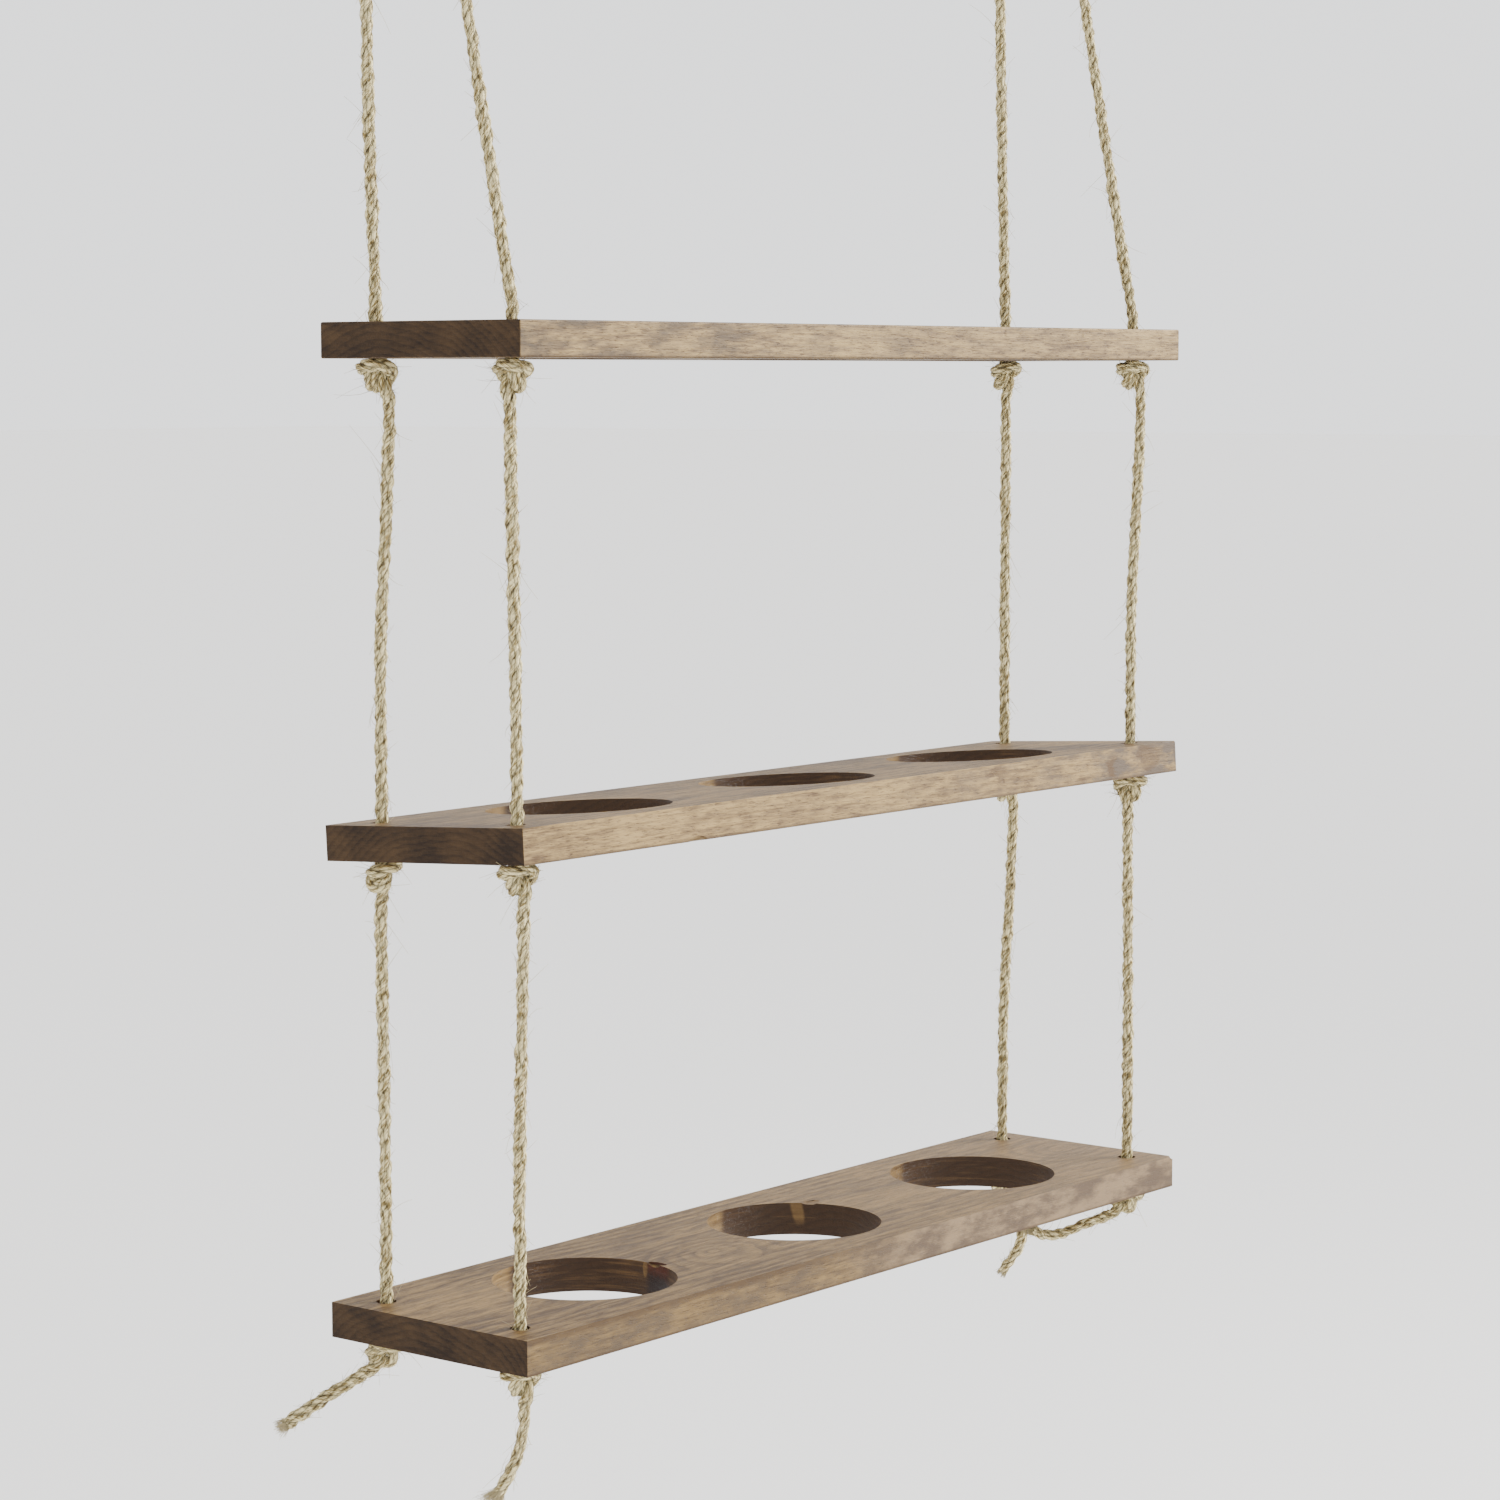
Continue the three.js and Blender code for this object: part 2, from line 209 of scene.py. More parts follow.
class Named(Enum):
    """A choice whose name is a word in the names of pieces."""

    @property
    def word(self) -> str:
        """The word in the names of pieces."""
        return self.name.lower()


class Side(Named):
    """The two ends of the shelf, with their direction along X."""

    LEFT = -1
    RIGHT = 1


class Edge(Named):
    """The two long edges of a board, with their direction along Y."""

    BACK = 1
    FRONT = -1


Column = tuple[Side, Edge]


class Exit(Enum):
    """How the rope leaves an overhand knot, in rope diameters."""

    NEAR = ((0.45, 0.3, -2.1), (0.42, 0.25, -2.75), (0.42, 0.15, -3.2))
    WIDE = ((0.52, 0.34, -2.1), (0.74, 0.33, -2.65), (0.9, 0.28, -3.2))
    SIDE = ((0.6, 0.4, -2.05), (0.95, 0.5, -2.45), (1.4, 0.6, -2.75))


@dataclass(frozen=True)
class Tied:
    """How one stopper knot is tied: its hand, how far it is turned, and how the rope leaves it."""

    hand: int
    turn_deg: float
    exit: Exit


@dataclass(frozen=True)
class Tier:
    """One board's level, tilt, hole places and knots, and the body that the board rides on."""

    word: str
    body: str
    level: int
    tilt_deg: float
    hole_shares: tuple[float, float, float]
    knots: dict[Column, Tied]

    @property
    def place(self) -> Matrix:
        """The frame in the middle of the board."""
        height = -HOOK_ABOVE_TOP_BOARD - self.level * TIER_PITCH - BOARD_THICKNESS / 2
        tilt = Matrix.Rotation(math.radians(self.tilt_deg), 4, "X")
        return Matrix.Translation((0, BOARD_Y, height)) @ tilt


LEFT_BACK = (Side.LEFT, Edge.BACK)
LEFT_FRONT = (Side.LEFT, Edge.FRONT)
RIGHT_BACK = (Side.RIGHT, Edge.BACK)
RIGHT_FRONT = (Side.RIGHT, Edge.FRONT)
COLUMNS = (LEFT_BACK, LEFT_FRONT, RIGHT_BACK, RIGHT_FRONT)

TIERS = (
    Tier("top", "rope_frame", level=0, tilt_deg=0, hole_shares=(-1, 0, 1), knots={
        LEFT_BACK: Tied(-1, 165, Exit.WIDE),
        LEFT_FRONT: Tied(1, 75, Exit.NEAR),
        RIGHT_BACK: Tied(-1, 210, Exit.NEAR),
        RIGHT_FRONT: Tied(-1, 175, Exit.WIDE),
    }),
    Tier("middle", "middle_shelf", level=1, tilt_deg=-MIDDLE_TILT_DEG, hole_shares=(-1.005, 0, 1), knots={
        LEFT_BACK: Tied(-1, 255, Exit.WIDE),
        LEFT_FRONT: Tied(-1, 180, Exit.NEAR),
        RIGHT_BACK: Tied(-1, 185, Exit.WIDE),
        RIGHT_FRONT: Tied(1, 90, Exit.NEAR),
    }),
    Tier("bottom", "bottom_shelf", level=2, tilt_deg=0, hole_shares=(-0.995, 0.033, 1.022), knots={
        LEFT_BACK: Tied(1, 125, Exit.SIDE),
        LEFT_FRONT: Tied(-1, 180, Exit.NEAR),
        RIGHT_BACK: Tied(-1, 180, Exit.NEAR),
        RIGHT_FRONT: Tied(1, 105, Exit.SIDE),
    }),
)

# Routes of the ropes, in rope diameters
STOPPER_TURNS = (
    (0, 0, 0), (0, 0, -0.3), (-0.12, 0.01, -0.62), (-0.42, 0.02, -1.02), (-0.58, -0.05, -1.6),
    (-0.3, -0.45, -2.15), (0.45, -0.8, -2.3), (1.2, -0.6, -1.95), (1.52, 0.05, -1.4),
    (1.15, 0.85, -0.92), (0.2, 1.18, -0.64), (-0.85, 0.92, -0.56), (-1.42, 0.1, -0.64),
    (-1.2, -0.75, -0.82), (-0.4, -1.18, -1), (0.35, -0.8, -1.15), (0.52, -0.05, -1.5),
)
# Those of them that are drawn in towards the middle of the knot
DRAWN_IN_TURNS = slice(3, 15)
LOOP_KNOT_TURNS = (
    (0, 0, 0), (0, 0, -0.35), (-0.15, 0, -0.7), (-0.45, -0.03, -1.15), (-0.6, -0.1, -1.75),
    (-0.3, -0.48, -2.3), (0.45, -0.82, -2.45), (1.25, -0.55, -2.1), (1.65, 0.35, -1.5),
    (1.3, 1.5, -1), (0.3, 2.12, -0.75), (-0.95, 1.75, -0.7), (-1.62, 0.6, -0.8),
    (-1.4, -0.65, -0.95), (-0.5, -1.22, -1.1), (0.35, -0.85, -1.25), (0.58, -0.05, -1.6),
    (0.58, 0.22, -2.2), (0.52, 0.15, -2.8), (0.42, 0, -3.4),
)
HALF_LOOP = (
    (0, -0.52, -6.75), (0, -0.52, -6.3), (0.12, -0.5, -5.8), (0.45, -0.42, -5),
    (0.88, -0.26, -4.05), (1.2, -0.09, -2.9), (1.3, 0, -1.75), (1.12, 0, -0.68), (0.64, 0, -0.15),
)
STRETCH_SHARES = (
    (0.05, 0.98), (0.1, 0.91), (0.18, 0.78), (0.26, 0.62), (0.34, 0.45), (0.42, 0.28), (0.5, 0.13),
    (0.58, 0.04), (0.66, 0.01), (0.74, 0), (0.82, 0), (0.9, 0), (0.96, 0), (1, 0),
)
HANGER_SHARES = (
    (0.06, 0.01), (0.14, 0.03), (0.22, 0.06), (0.3, 0.09), (0.38, 0.12), (0.46, 0.15), (0.54, 0.18),
    (0.62, 0.2), (0.7, 0.2), (0.78, 0.19), (0.86, 0.15), (0.94, 0.08), (1, 0),
)
TAILS = {
    LEFT_BACK: (
        (0, 0, 0), (-0.6, 0.15, -0.3), (-1.3, 0.38, -0.6), (-2.15, 0.65, -0.95), (-3.1, 0.97, -1.35),
        (-4.1, 1.3, -1.8), (-5.1, 1.65, -2.3), (-6.1, 2, -2.8), (-7, 2.3, -3.25),
    ),
    LEFT_FRONT: (
        (0, 0, 0), (0, 0, -0.7), (-0.05, 0.05, -1.5), (-0.15, 0.2, -2.4), (-0.3, 0.35, -3.4),
        (-0.55, 0.6, -4.4), (-0.85, 0.9, -5.4), (-1.2, 1.2, -6.3), (-1.6, 1.55, -7.1),
    ),
    RIGHT_BACK: (
        (0, 0, 0), (0.2, -0.2, -0.6), (0.65, -0.6, -1.2), (1.1, -1.05, -2), (1.25, -1.3, -3),
        (1, -1.25, -4.1), (0.5, -0.95, -5.2), (-0.1, -0.5, -6.2), (-0.6, -0.15, -7),
    ),
    RIGHT_FRONT: (
        (0, 0, 0), (-0.6, 0.35, -0.2), (-1.4, 0.85, -0.4), (-2.3, 1.45, -0.72), (-3.3, 2.1, -1.15),
        (-4.3, 2.75, -1.45), (-5.2, 3.35, -1.5), (-6, 3.9, -1.25), (-6.7, 4.4, -0.85),
    ),
}

# How far the cut end of each rope has frayed
FRAYED = {LEFT_BACK: 0.6, LEFT_FRONT: 1.0, RIGHT_BACK: 0.25, RIGHT_FRONT: 0.6}

# How a rope that is held at both ends lies, and one whose end is free
TAUT = {"far_end": "object", "lay": "taut"}
LOOSE = {"far_end": "bare", "lay": "hanging"}

# One in so many samples of a cord's line goes into its path
CORD_EVERY = 3

# Seeds: how far apart those of two ropes are, the first hanging rope's, and the first for fibres
SEED_STEP = 10
HANGING_SEED = 40
FIBRE_SEED = 100


def name_of(column: Column) -> str:
    """The name of a column of rope, such as left_front."""
    return f"{column[0].word}_{column[1].word}"


def only(obj: Piece) -> None:
    """Selects one object alone and makes it the active one.

    Args:
        obj: The object.
    """
    bpy.ops.object.select_all(action="DESELECT")
    obj.select_set(True)
    bpy.context.view_layer.objects.active = obj


def settle(obj: Piece) -> Piece:
    """Puts an object's place, turn and scale into its mesh.

    Args:
        obj: The object.

    Returns:
        The same object.
    """
    only(obj)
    bpy.ops.object.transform_apply(location=True, rotation=True, scale=True)
    return obj


def primitive(add: Callable, scale: Point = (1.0, 1.0, 1.0), **settings: Any) -> Piece:
    """Makes a simple solid or face.

    Args:
        add: The operator that adds it.
        scale: Its scale along each axis.
        settings: The operator's own settings.

    Returns:
        The new object, with its place, turn and scale in its mesh.
    """
    bpy.ops.object.select_all(action="DESELECT")
    add(**settings)
    obj = bpy.context.active_object
    obj.scale = scale
    return settle(obj)


def apply_modifier(obj: Piece, kind: str, **settings: Any) -> None:
    """Adds a modifier with these settings and applies it.

    Args:
        obj: The piece.
        kind: The modifier's type.
        settings: The modifier's own properties.
    """
    only(obj)
    modifier = obj.modifiers.new(kind.lower(), kind)
    for key, value in settings.items():
        setattr(modifier, key, value)
    bpy.ops.object.modifier_apply(modifier=modifier.name)


def cut(obj: Piece, cutters: Iterable[Piece]) -> None:
    """Cuts solids out of a piece and removes them.

    Args:
        obj: The piece.
        cutters: The solids, in the order of the cuts.
    """
    for cutter in cutters:
        apply_modifier(obj, "BOOLEAN", operation="DIFFERENCE", solver="EXACT", object=cutter)
        bpy.data.objects.remove(cutter, do_unlink=True)


@contextmanager
def editing(obj: Piece) -> Iterator[bmesh.types.BMesh]:
    """Opens the active object's mesh for editing, with nothing selected.

    Args:
        obj: The active object.

    Yields:
        Its mesh, in which edges and faces can be selected.
    """
    bpy.ops.object.mode_set(mode="EDIT")
    bpy.ops.mesh.select_all(action="DESELECT")
    yield bmesh.from_edit_mesh(obj.data)
    bpy.ops.object.mode_set(mode="OBJECT")


def round_edges(obj: Piece, axis: int, offset: float, segments: int) -> None:
    """Rounds those edges of a block that run along one axis.

    Args:
        obj: The block, which is the active object.
        axis: The number of the axis.
        offset: How far the rounding reaches.
        segments: How many faces it has.
    """
    across = [k for k in range(3) if k != axis]
    with editing(obj) as shape:
        for edge in shape.edges:
            a, b = (vert.co for vert in edge.verts)
            edge.select_set(sum(abs(a[k] - b[k]) for k in across) < FACE_GAP)
        bmesh.update_edit_mesh(obj.data)
        bpy.ops.mesh.bevel(offset=offset, segments=segments)


def hand_over(obj: Piece, body: str, slot: str, node: str | None = None) -> None:
    """Declares a finished piece and reports it.

    Args:
        obj: The piece.
        body: The body that it rides on.
        slot: What it is made of.
        node: The node that it replaces, if it replaces one.
    """
    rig.ride(obj, body)
    if node:
        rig.replaces(obj, node)
    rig.slot(obj, slot)
    LOG.info("%s rides on %s", obj.name, body)


def mesh_object(name: str, points: Array, faces: Array) -> Piece:
    """Makes an object from points and faces that all have as many corners.

    Args:
        name: The piece's name.
        points: One row for each point.
        faces: One row of point numbers for each face.

    Returns:
        The new object, in the scene.
    """
    mesh = bpy.data.meshes.new(name)
    mesh.vertices.add(len(points))
    mesh.vertices.foreach_set("co", points.astype(np.float32).ravel())
    mesh.loops.add(faces.size)
    mesh.loops.foreach_set("vertex_index", faces.astype(np.int32).ravel())
    mesh.polygons.add(len(faces))
    mesh.polygons.foreach_set("loop_start", np.arange(0, faces.size, faces.shape[1], dtype=np.int32))
    mesh.polygons.foreach_set("use_smooth", np.ones(len(faces), dtype=bool))
    mesh.update(calc_edges=True)
    mesh.validate()
    obj = bpy.data.objects.new(name, mesh)
    bpy.context.scene.collection.objects.link(obj)
    return obj


def math_node(operation: str, reflected: bool = False) -> Callable[..., "Value"]:
    """Makes a method that puts a value, and another where there is one, into a Math node.

    Args:
        operation: The node's operation.
        reflected: Whether the other value comes first.

    Returns:
        The method.
    """
    def method(self: "Value", *others: Any) -> "Value":
        """Adds the node."""
        values = (*others, self) if reflected else (self, *others)
        return self.graph.node("ShaderNodeMath", {"operation": operation}, values)
    return method


class Value:
    """A socket of a shader graph that takes part in Python arithmetic."""

    __add__ = __radd__ = math_node("ADD")
    __sub__ = math_node("SUBTRACT")
    __rsub__ = math_node("SUBTRACT", reflected=True)
    __mul__ = __rmul__ = math_node("MULTIPLY")
    __truediv__ = math_node("DIVIDE")
    __pow__ = math_node("POWER")
    root = math_node("SQRT")
    sine = math_node("SINE")
    size = math_node("ABSOLUTE")
    part = math_node("FRACT")

    def __init__(self, graph: "Graph", socket: bpy.types.NodeSocket) -> None:
        """Keeps the graph and the output socket that carries the value."""
        self.graph = graph
        self.socket = socket

    def clip(self) -> "Value":
        """The value held between 0 and 1."""
        return self.graph.node("ShaderNodeClamp", {}, (self, 0.0, 1.0))

    def step(self, low: float, high: float) -> "Value":
        """A smooth step from 0 at low to 1 at high."""
        settings = {"interpolation_type": "SMOOTHSTEP"}
        return self.graph.node("ShaderNodeMapRange", settings, (self, low, high, 0.0, 1.0))


class Graph:
    """The shader graph of one material."""

    def __init__(self, name: str) -> None:
        """Makes the material with a Principled shader on its output.

        Args:
            name: The material's name.
        """
        self.material = bpy.data.materials.new(name)
        self.material.use_nodes = True
        self.tree = self.material.node_tree
        self.shader = next(n for n in self.tree.nodes if n.type == "BSDF_PRINCIPLED")

    def node(self, kind: str, settings: dict[str, Any], values: Any = (), output: Any = 0) -> Value:
        """Adds a node.

        Args:
            kind: The node's type.
            settings: The node's own properties.
            values: What goes into its sockets, by order or by name or number.
            output: The output socket that is wanted, by number or by name.

        Returns:
            That output socket.
        """
        node = self.tree.nodes.new(kind)
        for key, value in settings.items():
            setattr(node, key, value)
        pairs = values.items() if isinstance(values, dict) else enumerate(values)
        for key, value in pairs:
            self.put(node.inputs[key], value)
        return Value(self, node.outputs[output])

    def put(self, socket: bpy.types.NodeSocket, value: Any) -> None:
        """Links a value to an input socket, or sets it there.

        Args:
            socket: The input socket.
            value: A value of this graph, a number, a vector or a colour.
        """
        if isinstance(value, Value):
            self.tree.links.new(value.socket, socket)
        elif isinstance(value, tuple) and len(value) == 3 and socket.type == "RGBA":
            socket.default_value = (*value, 1.0)
        else:
            socket.default_value = value

    def finish(self, **sockets: Any) -> Finish:
        """Sets the shader's sockets.

        Args:
            sockets: What goes into them, with spaces in their names as underscores.

        Returns:
            The material.
        """
        for key, value in sockets.items():
            self.put(self.shader.inputs[key.replace("_", " ")], value)
        return self.material

    def mix(self, share: Any, low: Any, high: Any) -> Value:
        """Mixes two colours by a share."""
        values = {0: share, 6: low, 7: high}
        return self.node("ShaderNodeMix", {"data_type": "RGBA"}, values, 2)

    def noise(self, vector: Value, scale: float = 1.0, detail: float = 2.0, rough: float = 0.5) -> Value:
        """Noise between 0 and 1 at a vector."""
        values = {"Vector": vector, "Scale": scale, "Detail": detail, "Roughness": rough}
        return self.node("ShaderNodeTexNoise", {}, values, "Fac")

    def at(self, x: Any, y: Any, z: Any) -> Value:
        """A vector of three values."""
        return self.node("ShaderNodeCombineXYZ", {}, (x, y, z))

    def split(self, vector: Value) -> tuple[Value, Value, Value]:
        """Takes a vector apart.

        Args:
            vector: The vector.

        Returns:
            Its three values.
        """
        node = self.tree.nodes.new("ShaderNodeSeparateXYZ")
        self.put(node.inputs[0], vector)
        return tuple(Value(self, socket) for socket in node.outputs)

    def object_place(self) -> Value:
        """The place in the object's own frame."""
        return self.node("ShaderNodeTexCoord", {}, (), "Object")

    def attribute(self, name: str) -> Value:
        """A number that the mesh carries under this name."""
        return self.node("ShaderNodeAttribute", {"attribute_name": name}, (), "Fac")

    def bump(self, height: Value, distance: float, strength: float = 1.0) -> Value:
        """A normal from a height between 0 and 1."""
        values = {"Height": height, "Distance": distance, "Strength": strength}
        return self.node("ShaderNodeBump", {}, values, "Normal")


@dataclass(frozen=True)
class Layer:
    """A layer of noise: its waves per metre, where its seed shifts it, its detail and its roughness."""

    waves: Point
    shift: Point = (1.0, 0.0, 0.0)
    detail: float = 3.0
    rough: float = 0.5

    def noise(self, graph: Graph, where: Value, seed: float = 0.0) -> Value:
        """Makes the layer.

        Args:
            graph: The shader graph that it is part of.
            where: The place, in metres.
            seed: What tells it from the same layer in another material.

        Returns:
            The noise, between 0 and 1.
        """
        shift = tuple(seed * part for part in self.shift)
        settings = {"operation": "MULTIPLY_ADD"}
        vector = graph.node("ShaderNodeVectorMath", settings, (where, self.waves, shift))
        return graph.noise(vector, 1.0, self.detail, self.rough)


# The layers of a board's wood, in the board's frame
WOOD_LAYERS = {
    "sway": Layer((2.6, 0, 0), (1, 1, 0), 1),
    "lean": Layer((1.7, 0, 0), (-1, 0, 1), 1),
    "blur": Layer((7, 26, 26)),
    "fibre": Layer((60, 900, 900), rough=0.7),
    "streak": Layer((26, 300, 300), detail=4, rough=0.7),
    "pore": Layer((150, 1400, 1400), (0, 0, 1), 2, 0.6),
    "cloud": Layer((9, 16, 30), detail=4, rough=0.6),
    "blot": Layer((34, 80, 90), (-1, 0, 0), 4, 0.65),
    "mark": Layer((70, 230, 230), rough=0.7),
    "sawn": Layer((260, 420, 420), (0, 0, 0), 4, 0.7),
    "ring_cut": Layer((30, 30, 700), (0, 0, 1), rough=0.6),
    "soft": Layer((0, 42, 70)),
    "brush": Layer((0, 130, 1100), rough=0.7),
    "grit": Layer((900, 900, 900), (0, 0, 0), 2),
}

# The layers of the rope, by its girth, its length and a number that tells them apart
ROPE_LAYERS = {
    "fine": Layer((2600, 150, 0), rough=0.65),
    "yarn": Layer((820, 230, 3), detail=2, rough=0.6),
    "strand": Layer((620, 170, 5), detail=2),
    "patch": Layer((60, 48, 9), detail=2),
}


class Grain:
    """What a board's colours are mixed from: places in the board's frame, noises and growth rings."""

    SWAY = 0.055
    LEAN = 0.06
    BLUR = 0.013
    SWIRL_LENGTH = 0.55
    SWIRL_HEIGHT = 0.02
    LATE_WOOD = (0.25, 0.93)
    PORES = (0.56, 0.66)
    SPOT_CORE = 0.55

    def __init__(self, graph: Graph, wood: "StainedWood") -> None:
        """Makes the layers of noise and the rings.

        Args:
            graph: The shader graph of the board's material.
            wood: The board's wood.
        """
        self.graph = graph
        location, rotation, _ = wood.tier.place.decompose()
        values = (graph.object_place(), tuple(location), tuple(rotation.to_euler()), (1.0, 1.0, 1.0))
        where = graph.node("ShaderNodeMapping", {"vector_type": "TEXTURE"}, values)
        self.x, self.y, self.z = graph.split(where)
        self.far = self.x / BOARD_LENGTH + 0.5
        self.noise = {word: layer.noise(graph, where, wood.seed) for word, layer in WOOD_LAYERS.items()}
        self.plain = {"pore": self.noise["pore"].step(*self.PORES), "late": self._late(wood)}

    def _late(self, wood: "StainedWood") -> Value:
        """How dark the growth rings are at each place: 1 in the late wood.

        Args:
            wood: The board's wood.

        Returns:
            A value between 0 and 1.
        """
        across = self.y - wood.pith[0] + self.centred("sway") * self.SWAY
        upward = self.z - wood.pith[1] + self.centred("lean") * self.LEAN
        radius = (across * across + upward * upward).root() + self.centred("blur") * self.BLUR
        for at_x, at_y, width in wood.swirls:
            far = ((self.x - at_x) * self.SWIRL_LENGTH) ** 2.0 + (self.y - at_y) ** 2.0
            radius = radius + self.SWIRL_HEIGHT * (1 - (far / width ** 2).clip().root()).clip()
        turn = (radius / wood.ring).part()
        rise, fall = self.LATE_WOOD
        return turn.step(rise, fall) * (1 - turn.step(fall, 1.0))

    def centred(self, word: str) -> Value:
        """A layer of noise about 0."""
        return self.noise[word] - 0.5

    def blend(self, bias: float, **weights: float) -> Value:
        """Adds up layers about their middle, and late wood and pores as they are.

        Args:
            bias: What they are added to.
            weights: The weight of each, by its name.

        Returns:
            The sum, held between 0 and 1.
        """
        total = bias
        for word, weight in weights.items():
            value = self.plain[word] if word in self.plain else self.centred(word)
            total = value * weight + total
        return total.clip()

    def near(self, x: Value, y: Value, spot: Point) -> Value:
        """How near a place is to an upright streak or knot.

        Args:
            x: The place along the board, or as far as it is warped.
            y: The place across it.
            spot: The middle of the streak, along and across, and its radius.

        Returns:
            1 inside it and 0 outside.
        """
        at_x, at_y, width = spot
        far = ((x - at_x) ** 2.0 + (y - at_y) ** 2.0).root()
        return 1 - far.step(width * self.SPOT_CORE, width)


@dataclass(frozen=True)
class StainedWood:
    """Oil-stained softwood with open grain, for one board in its own frame."""

    name: str
    tier: Tier
    seed: float
    pith: tuple[float, float]
    ring: float = 0.0040
    edge_share: float = 0.9
    mottle: tuple[float, float] = (0.15, 0.4)
    mottle_power: float = 1.0
    dark_arris: float = 0.0
    # Shares of painted light towards the far end: on the top and underside, and on the long edges
    hazy: tuple[float, float] = (0.0, 0.0)
    swirls: tuple[Point, ...] = ()
    knots: tuple[Point, ...] = ()
    ambers: tuple[Point, ...] = ()
    stains: tuple[Point, ...] = ()
    pale: Point = (0.225, 0.138, 0.046)
    dark: Point = (0.060, 0.031, 0.010)
    worn: Point = (0.335, 0.222, 0.084)
    brown: Point = (0.092, 0.050, 0.019)
    grey: Point = (0.078, 0.052, 0.030)
    # End grain: darker from the stain that soaks into it, and in part painted shade on the ends
    end: Point = (0.017, 0.008, 0.003)
    end_pale: Point = (0.060, 0.032, 0.012)
    # The pale tint of the painted light and sheen towards the far end
    haze: Point = (0.232, 0.160, 0.091)
    slate: Point = (0.095, 0.061, 0.037)
    burnt: Point = (0.038, 0.015, 0.005)
    tan: Point = (0.19, 0.100, 0.034)
    # Painted highlight on each pot hole's wall, on the side that faces the light
    rubbed: Point = (0.26, 0.165, 0.066)
    amber: Point = (0.21, 0.120, 0.040)
    knot_dark: Point = (0.012, 0.004, 0.002)
    knot_red: Point = (0.062, 0.014, 0.005)

    def material(self) -> Finish:
        """Makes the board's material from its growth rings, fibres and stain.

        Returns:
            The material.
        """
        g = Graph(self.name)
        grain = Grain(g, self)
        end, wall, edge = (g.attribute(word) for word in ("end_grain", "hole_wall", "long_edge"))
        base = g.mix(edge * self.edge_share, self._face(grain), self._edge(grain))
        base = self._stained(grain, base, edge)
        base = g.mix(wall * 0.95, base, self._hole(grain))
        # End grain: its darker stain and, in part, painted shade
        worn_end = grain.blend(0.40, late=0.3, sawn=0.6, soft=2.1, brush=1.2)
        base = g.mix(end * (1 - wall), base, g.mix(worn_end, self.end_pale, self.end))
        gloss = wall
        for knot in self.knots:
            near = grain.near(grain.x, grain.y, knot) * wall
            red = (grain.noise["sawn"] * 1.6 + grain.z.step(-0.002, 0.008) - 1.0).clip()
            base = g.mix(near, base, g.mix(red, self.knot_dark, self.knot_red))
            gloss = gloss + near * 0.6
        fibre, sawn = grain.noise["fibre"], grain.noise["sawn"]
        rough = 0.42 + fibre * 0.2 + end * 0.16 - gloss * 0.2 + grain.noise["grit"] * 0.05
        relief = (1 - grain.plain["pore"]) * 0.5 + (1 - grain.plain["late"]) * 0.15
        relief = relief + fibre * 0.5 + sawn * end * 0.5
        return g.finish(
            Base_Color=base,
            Roughness=rough.clip(),
            Specular_IOR_Level=0.23,
            Normal=g.bump(relief, 0.00035, 0.8),
        )

    def _face(self, grain: Grain) -> Value:
        """The colour of the top and the underside, with painted light that grows towards the far end.

        Args:
            grain: The board's grain.

        Returns:
            The colour.
        """
        tone = grain.blend(0.40, late=0.42, pore=0.35, fibre=1.7, streak=1.8, cloud=1.7, mark=1.1)
        face = grain.graph.mix(tone, self.pale, self.dark)
        # Painted light: the top and underside grow paler towards the far end
        return grain.graph.mix(grain.far.clip() ** 2.0 * self.hazy[0], face, self.haze)

    def _edge(self, grain: Grain) -> Value:
        """The colour of the long edges: worn pale, mottled grey, and towards the far end painted light and sheen,
        blotched with grey.

        Args:
            grain: The board's grain.

        Returns:
            The colour.
        """
        mix, blot = grain.graph.mix, grain.noise["blot"]
        tone = grain.blend(0.32, late=0.14, pore=0.45, fibre=1.7, streak=1.8, cloud=1.1, mark=1.4)
        low, high = self.mottle
        share = grain.far.clip() ** self.mottle_power * (high - low) + low
        edge = mix((blot.step(0.34, 0.74) * share).clip(), mix(tone, self.worn, self.brown), self.grey)
        # Painted light and sheen towards the far end, blotched with grey
        painted_light_and_grey = mix(blot.step(0.38, 0.62), self.haze, self.slate)
        reach = (grain.far + grain.centred("cloud") * 0.3).step(0.40, 0.58)
        return mix(reach * self.hazy[1], edge, painted_light_and_grey)

    def _stained(self, grain: Grain, base: Value, edge: Value) -> Value:
        """Paints shade along the lower arris, darkens the upper arris near the first end, and darkens the stained
        places.

        Args:
            grain: The board's grain.
            base: The colour so far.
            edge: How much of a face is a long edge.

        Returns:
            The new colour.
        """
        mix, z, blot = grain.graph.mix, grain.z, grain.noise["blot"]
        # Painted shade: the lower arris of the long edges is darkened where the underside shades it
        base = mix(edge * (1 - z.step(-0.0091, -0.0076)) * 0.75, base, self.dark)
        # The upper arris is darker near the first end
        first_end = 1 - grain.far.step(0.3, 0.55)
        darker_upper_arris = z.step(0.0045, 0.0078) * first_end * (0.4 + grain.noise["cloud"]) * self.dark_arris
        base = mix((edge * darker_upper_arris).clip(), base, self.dark)
        for spot in self.stains:
            x = grain.x + grain.centred("blot") * 0.05 + grain.centred("streak") * 0.02
            near = grain.near(x, z * 1.3 + grain.centred("cloud") * 0.04, spot)
            base = mix(near * edge * (blot * 2.6 - 0.55).clip(), base, self.brown)
        return base

